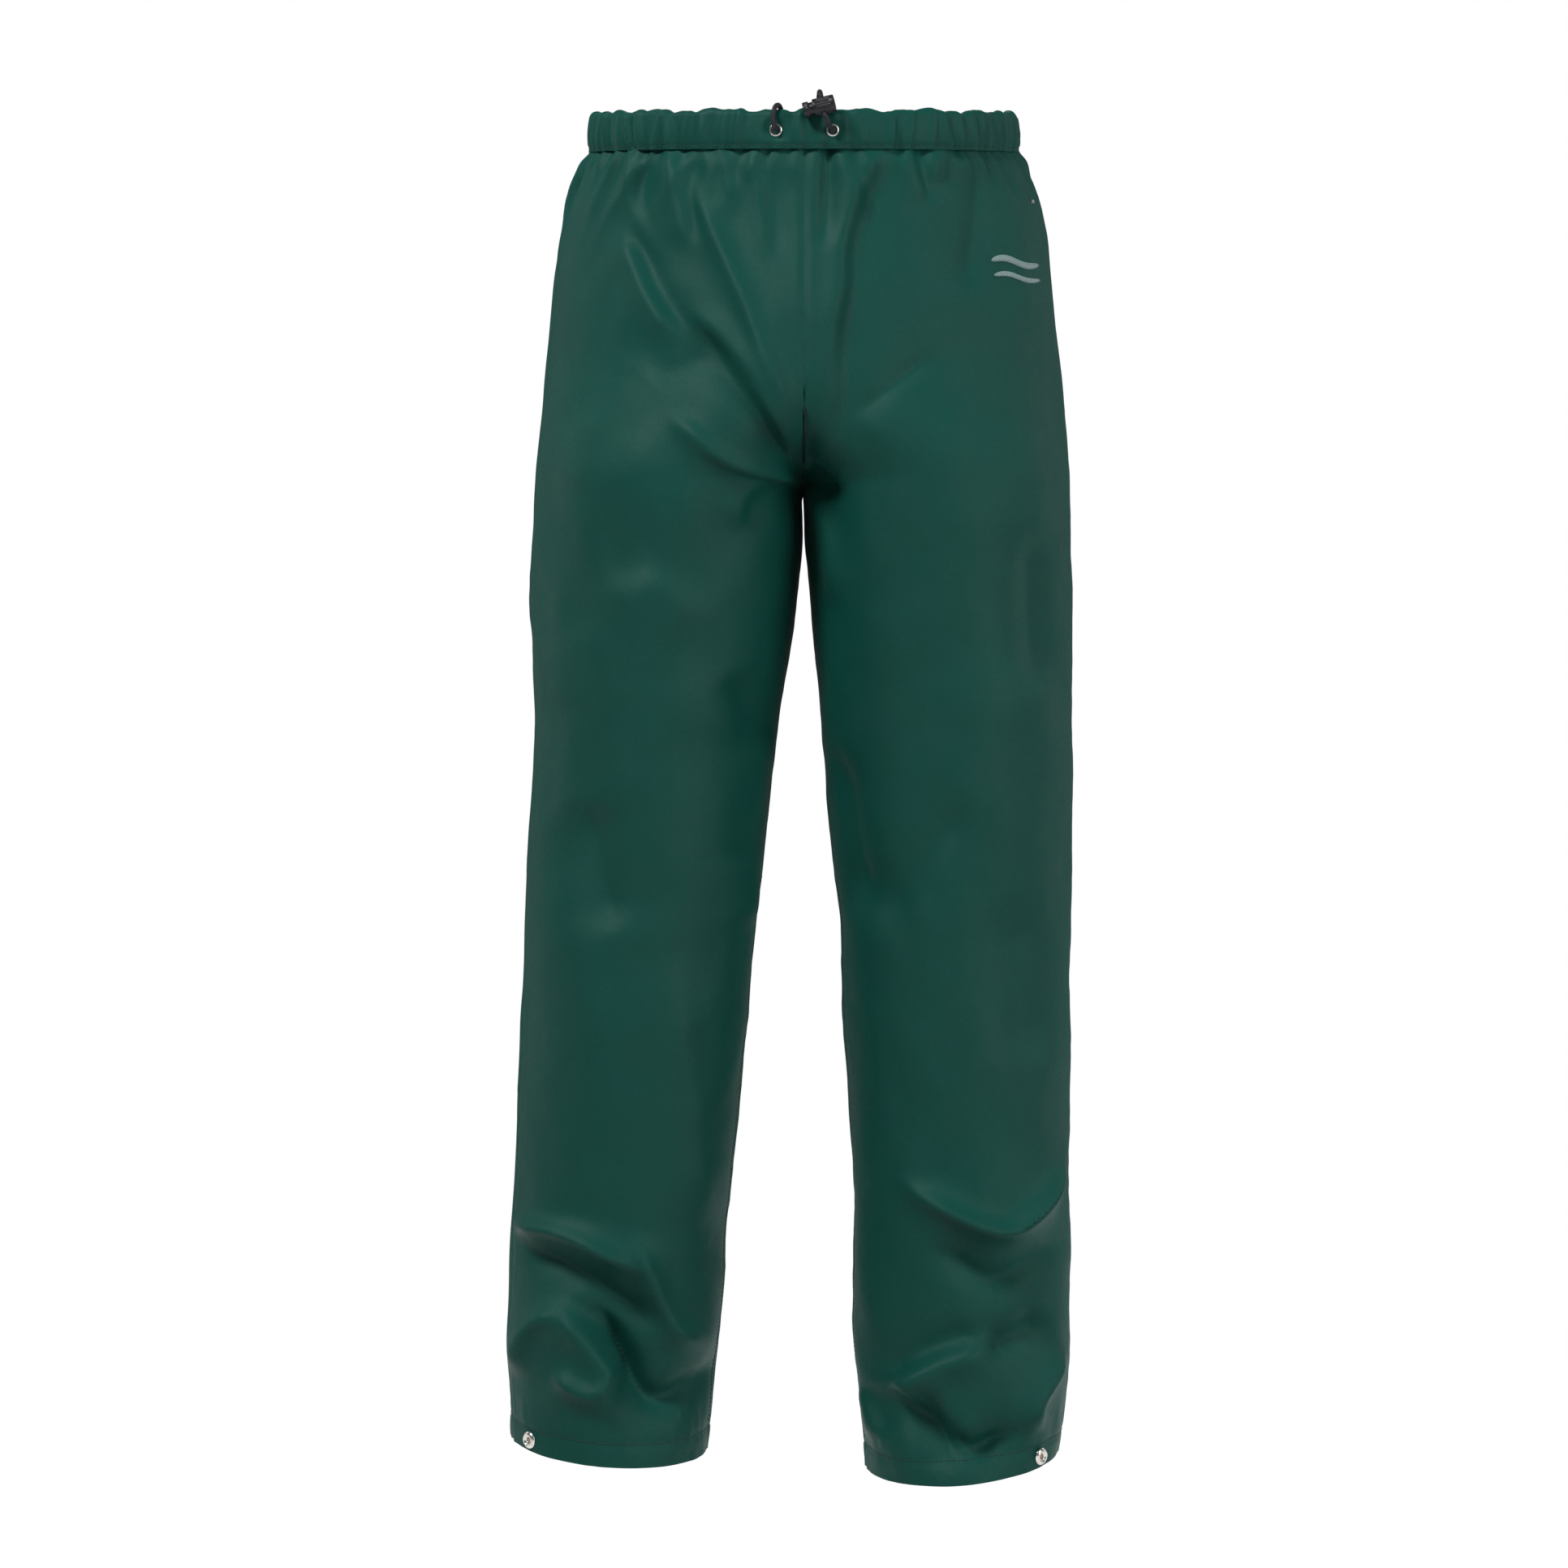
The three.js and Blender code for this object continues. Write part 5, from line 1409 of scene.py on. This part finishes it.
bars = [wave_bar(0.147, 0.186, -0.124, 0.0052, 0.0022), wave_bar(0.149, 0.187, -0.136, 0.0040, 0.0018)]
fit(film("hip_mark", bars), "waist", "print", "hip_print")

ends = [cloth_near("left", 0.1835, -0.0720), cloth_near("left", 0.1795, -0.0725)]
for k in range(5):  # five threads side by side
    a, b = (at + np.array([0, 0, 0.0005 * (k - 2)]) for at, _ in ends)
    stitches(f"bartack_{k}", np.linspace(a, b, 6), np.tile(ends[0][1], (6, 1)), "waist", TACK_MAT,
             length=0.0036, gap=0.0002, radius=0.00026)

# ---------------------------------------------------------------- light and floor
def area_light(name, at, target, size, energy):
    """A soft rectangular lamp, pointed at a target."""
    data = bpy.data.lights.new(name, "AREA")
    data.shape = "RECTANGLE"
    data.size, data.size_y = size
    data.energy = energy
    light = bpy.data.objects.new(name, data)
    light.location = at
    light.rotation_euler = (Vector(target) - Vector(at)).to_track_quat("-Z", "Y").to_euler()
    bpy.context.scene.collection.objects.link(light)


area_light("key", (-1.6, -1.9, 2.1), (0, 0, -0.40), (0.9, 0.9), 72)
area_light("fill", (2.4, -2.0, 0.2), (0, 0, -0.5), (1.4, 2.0), 34)
area_light("rim_left", (-2.6, 1.2, 0.2), (0, 0, -0.5), (1.0, 2.4), 9)
area_light("back", (0, 3.2, 1.2), (0, 0, -0.5), (2.2, 1.6), 26)
area_light("rim_right", (2.6, 1.2, 0.2), (0, 0, -0.5), (1.0, 2.4), 9)

# The camera sees a white surround, which lights the garment only faintly.
world = bpy.data.worlds.new("studio")
bpy.context.scene.world = world
world.use_nodes = True
background = world.node_tree.nodes["Background"]
seen = world.node_tree.nodes.new("ShaderNodeLightPath")
pick = world.node_tree.nodes.new("ShaderNodeMapRange")
pick.inputs["To Min"].default_value = 0.12
pick.inputs["To Max"].default_value = 1.0
world.node_tree.links.new(seen.outputs["Is Camera Ray"], pick.inputs["Value"])
world.node_tree.links.new(pick.outputs["Result"], background.inputs["Strength"])
background.inputs["Color"].default_value = (1, 1, 1, 1)

floor_shader = Shader("pale_floor", (0.02, 0.02, 0.02), 1.0)
floor_shader.set("Emission Color", (1, 1, 1, 1))
floor_shader.set("Specular IOR Level", 0.0)
floor_shader.set("Emission Strength", 1.0)
FLOOR_RADIUS, FLOOR_Z, FLOOR_SIDES = 2.4, -1.25, 96
turns = np.linspace(0, 2 * math.pi, FLOOR_SIDES, endpoint=False)
rim = [(FLOOR_RADIUS * math.cos(a), FLOOR_RADIUS * math.sin(a), FLOOR_Z) for a in turns]
floor = mesh_object("floor", rim, [range(FLOOR_SIDES)], floor_shader.material)
floor.visible_diffuse = False
floor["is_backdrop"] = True
bpy.context.scene.view_settings.view_transform = "Standard"

low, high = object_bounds()
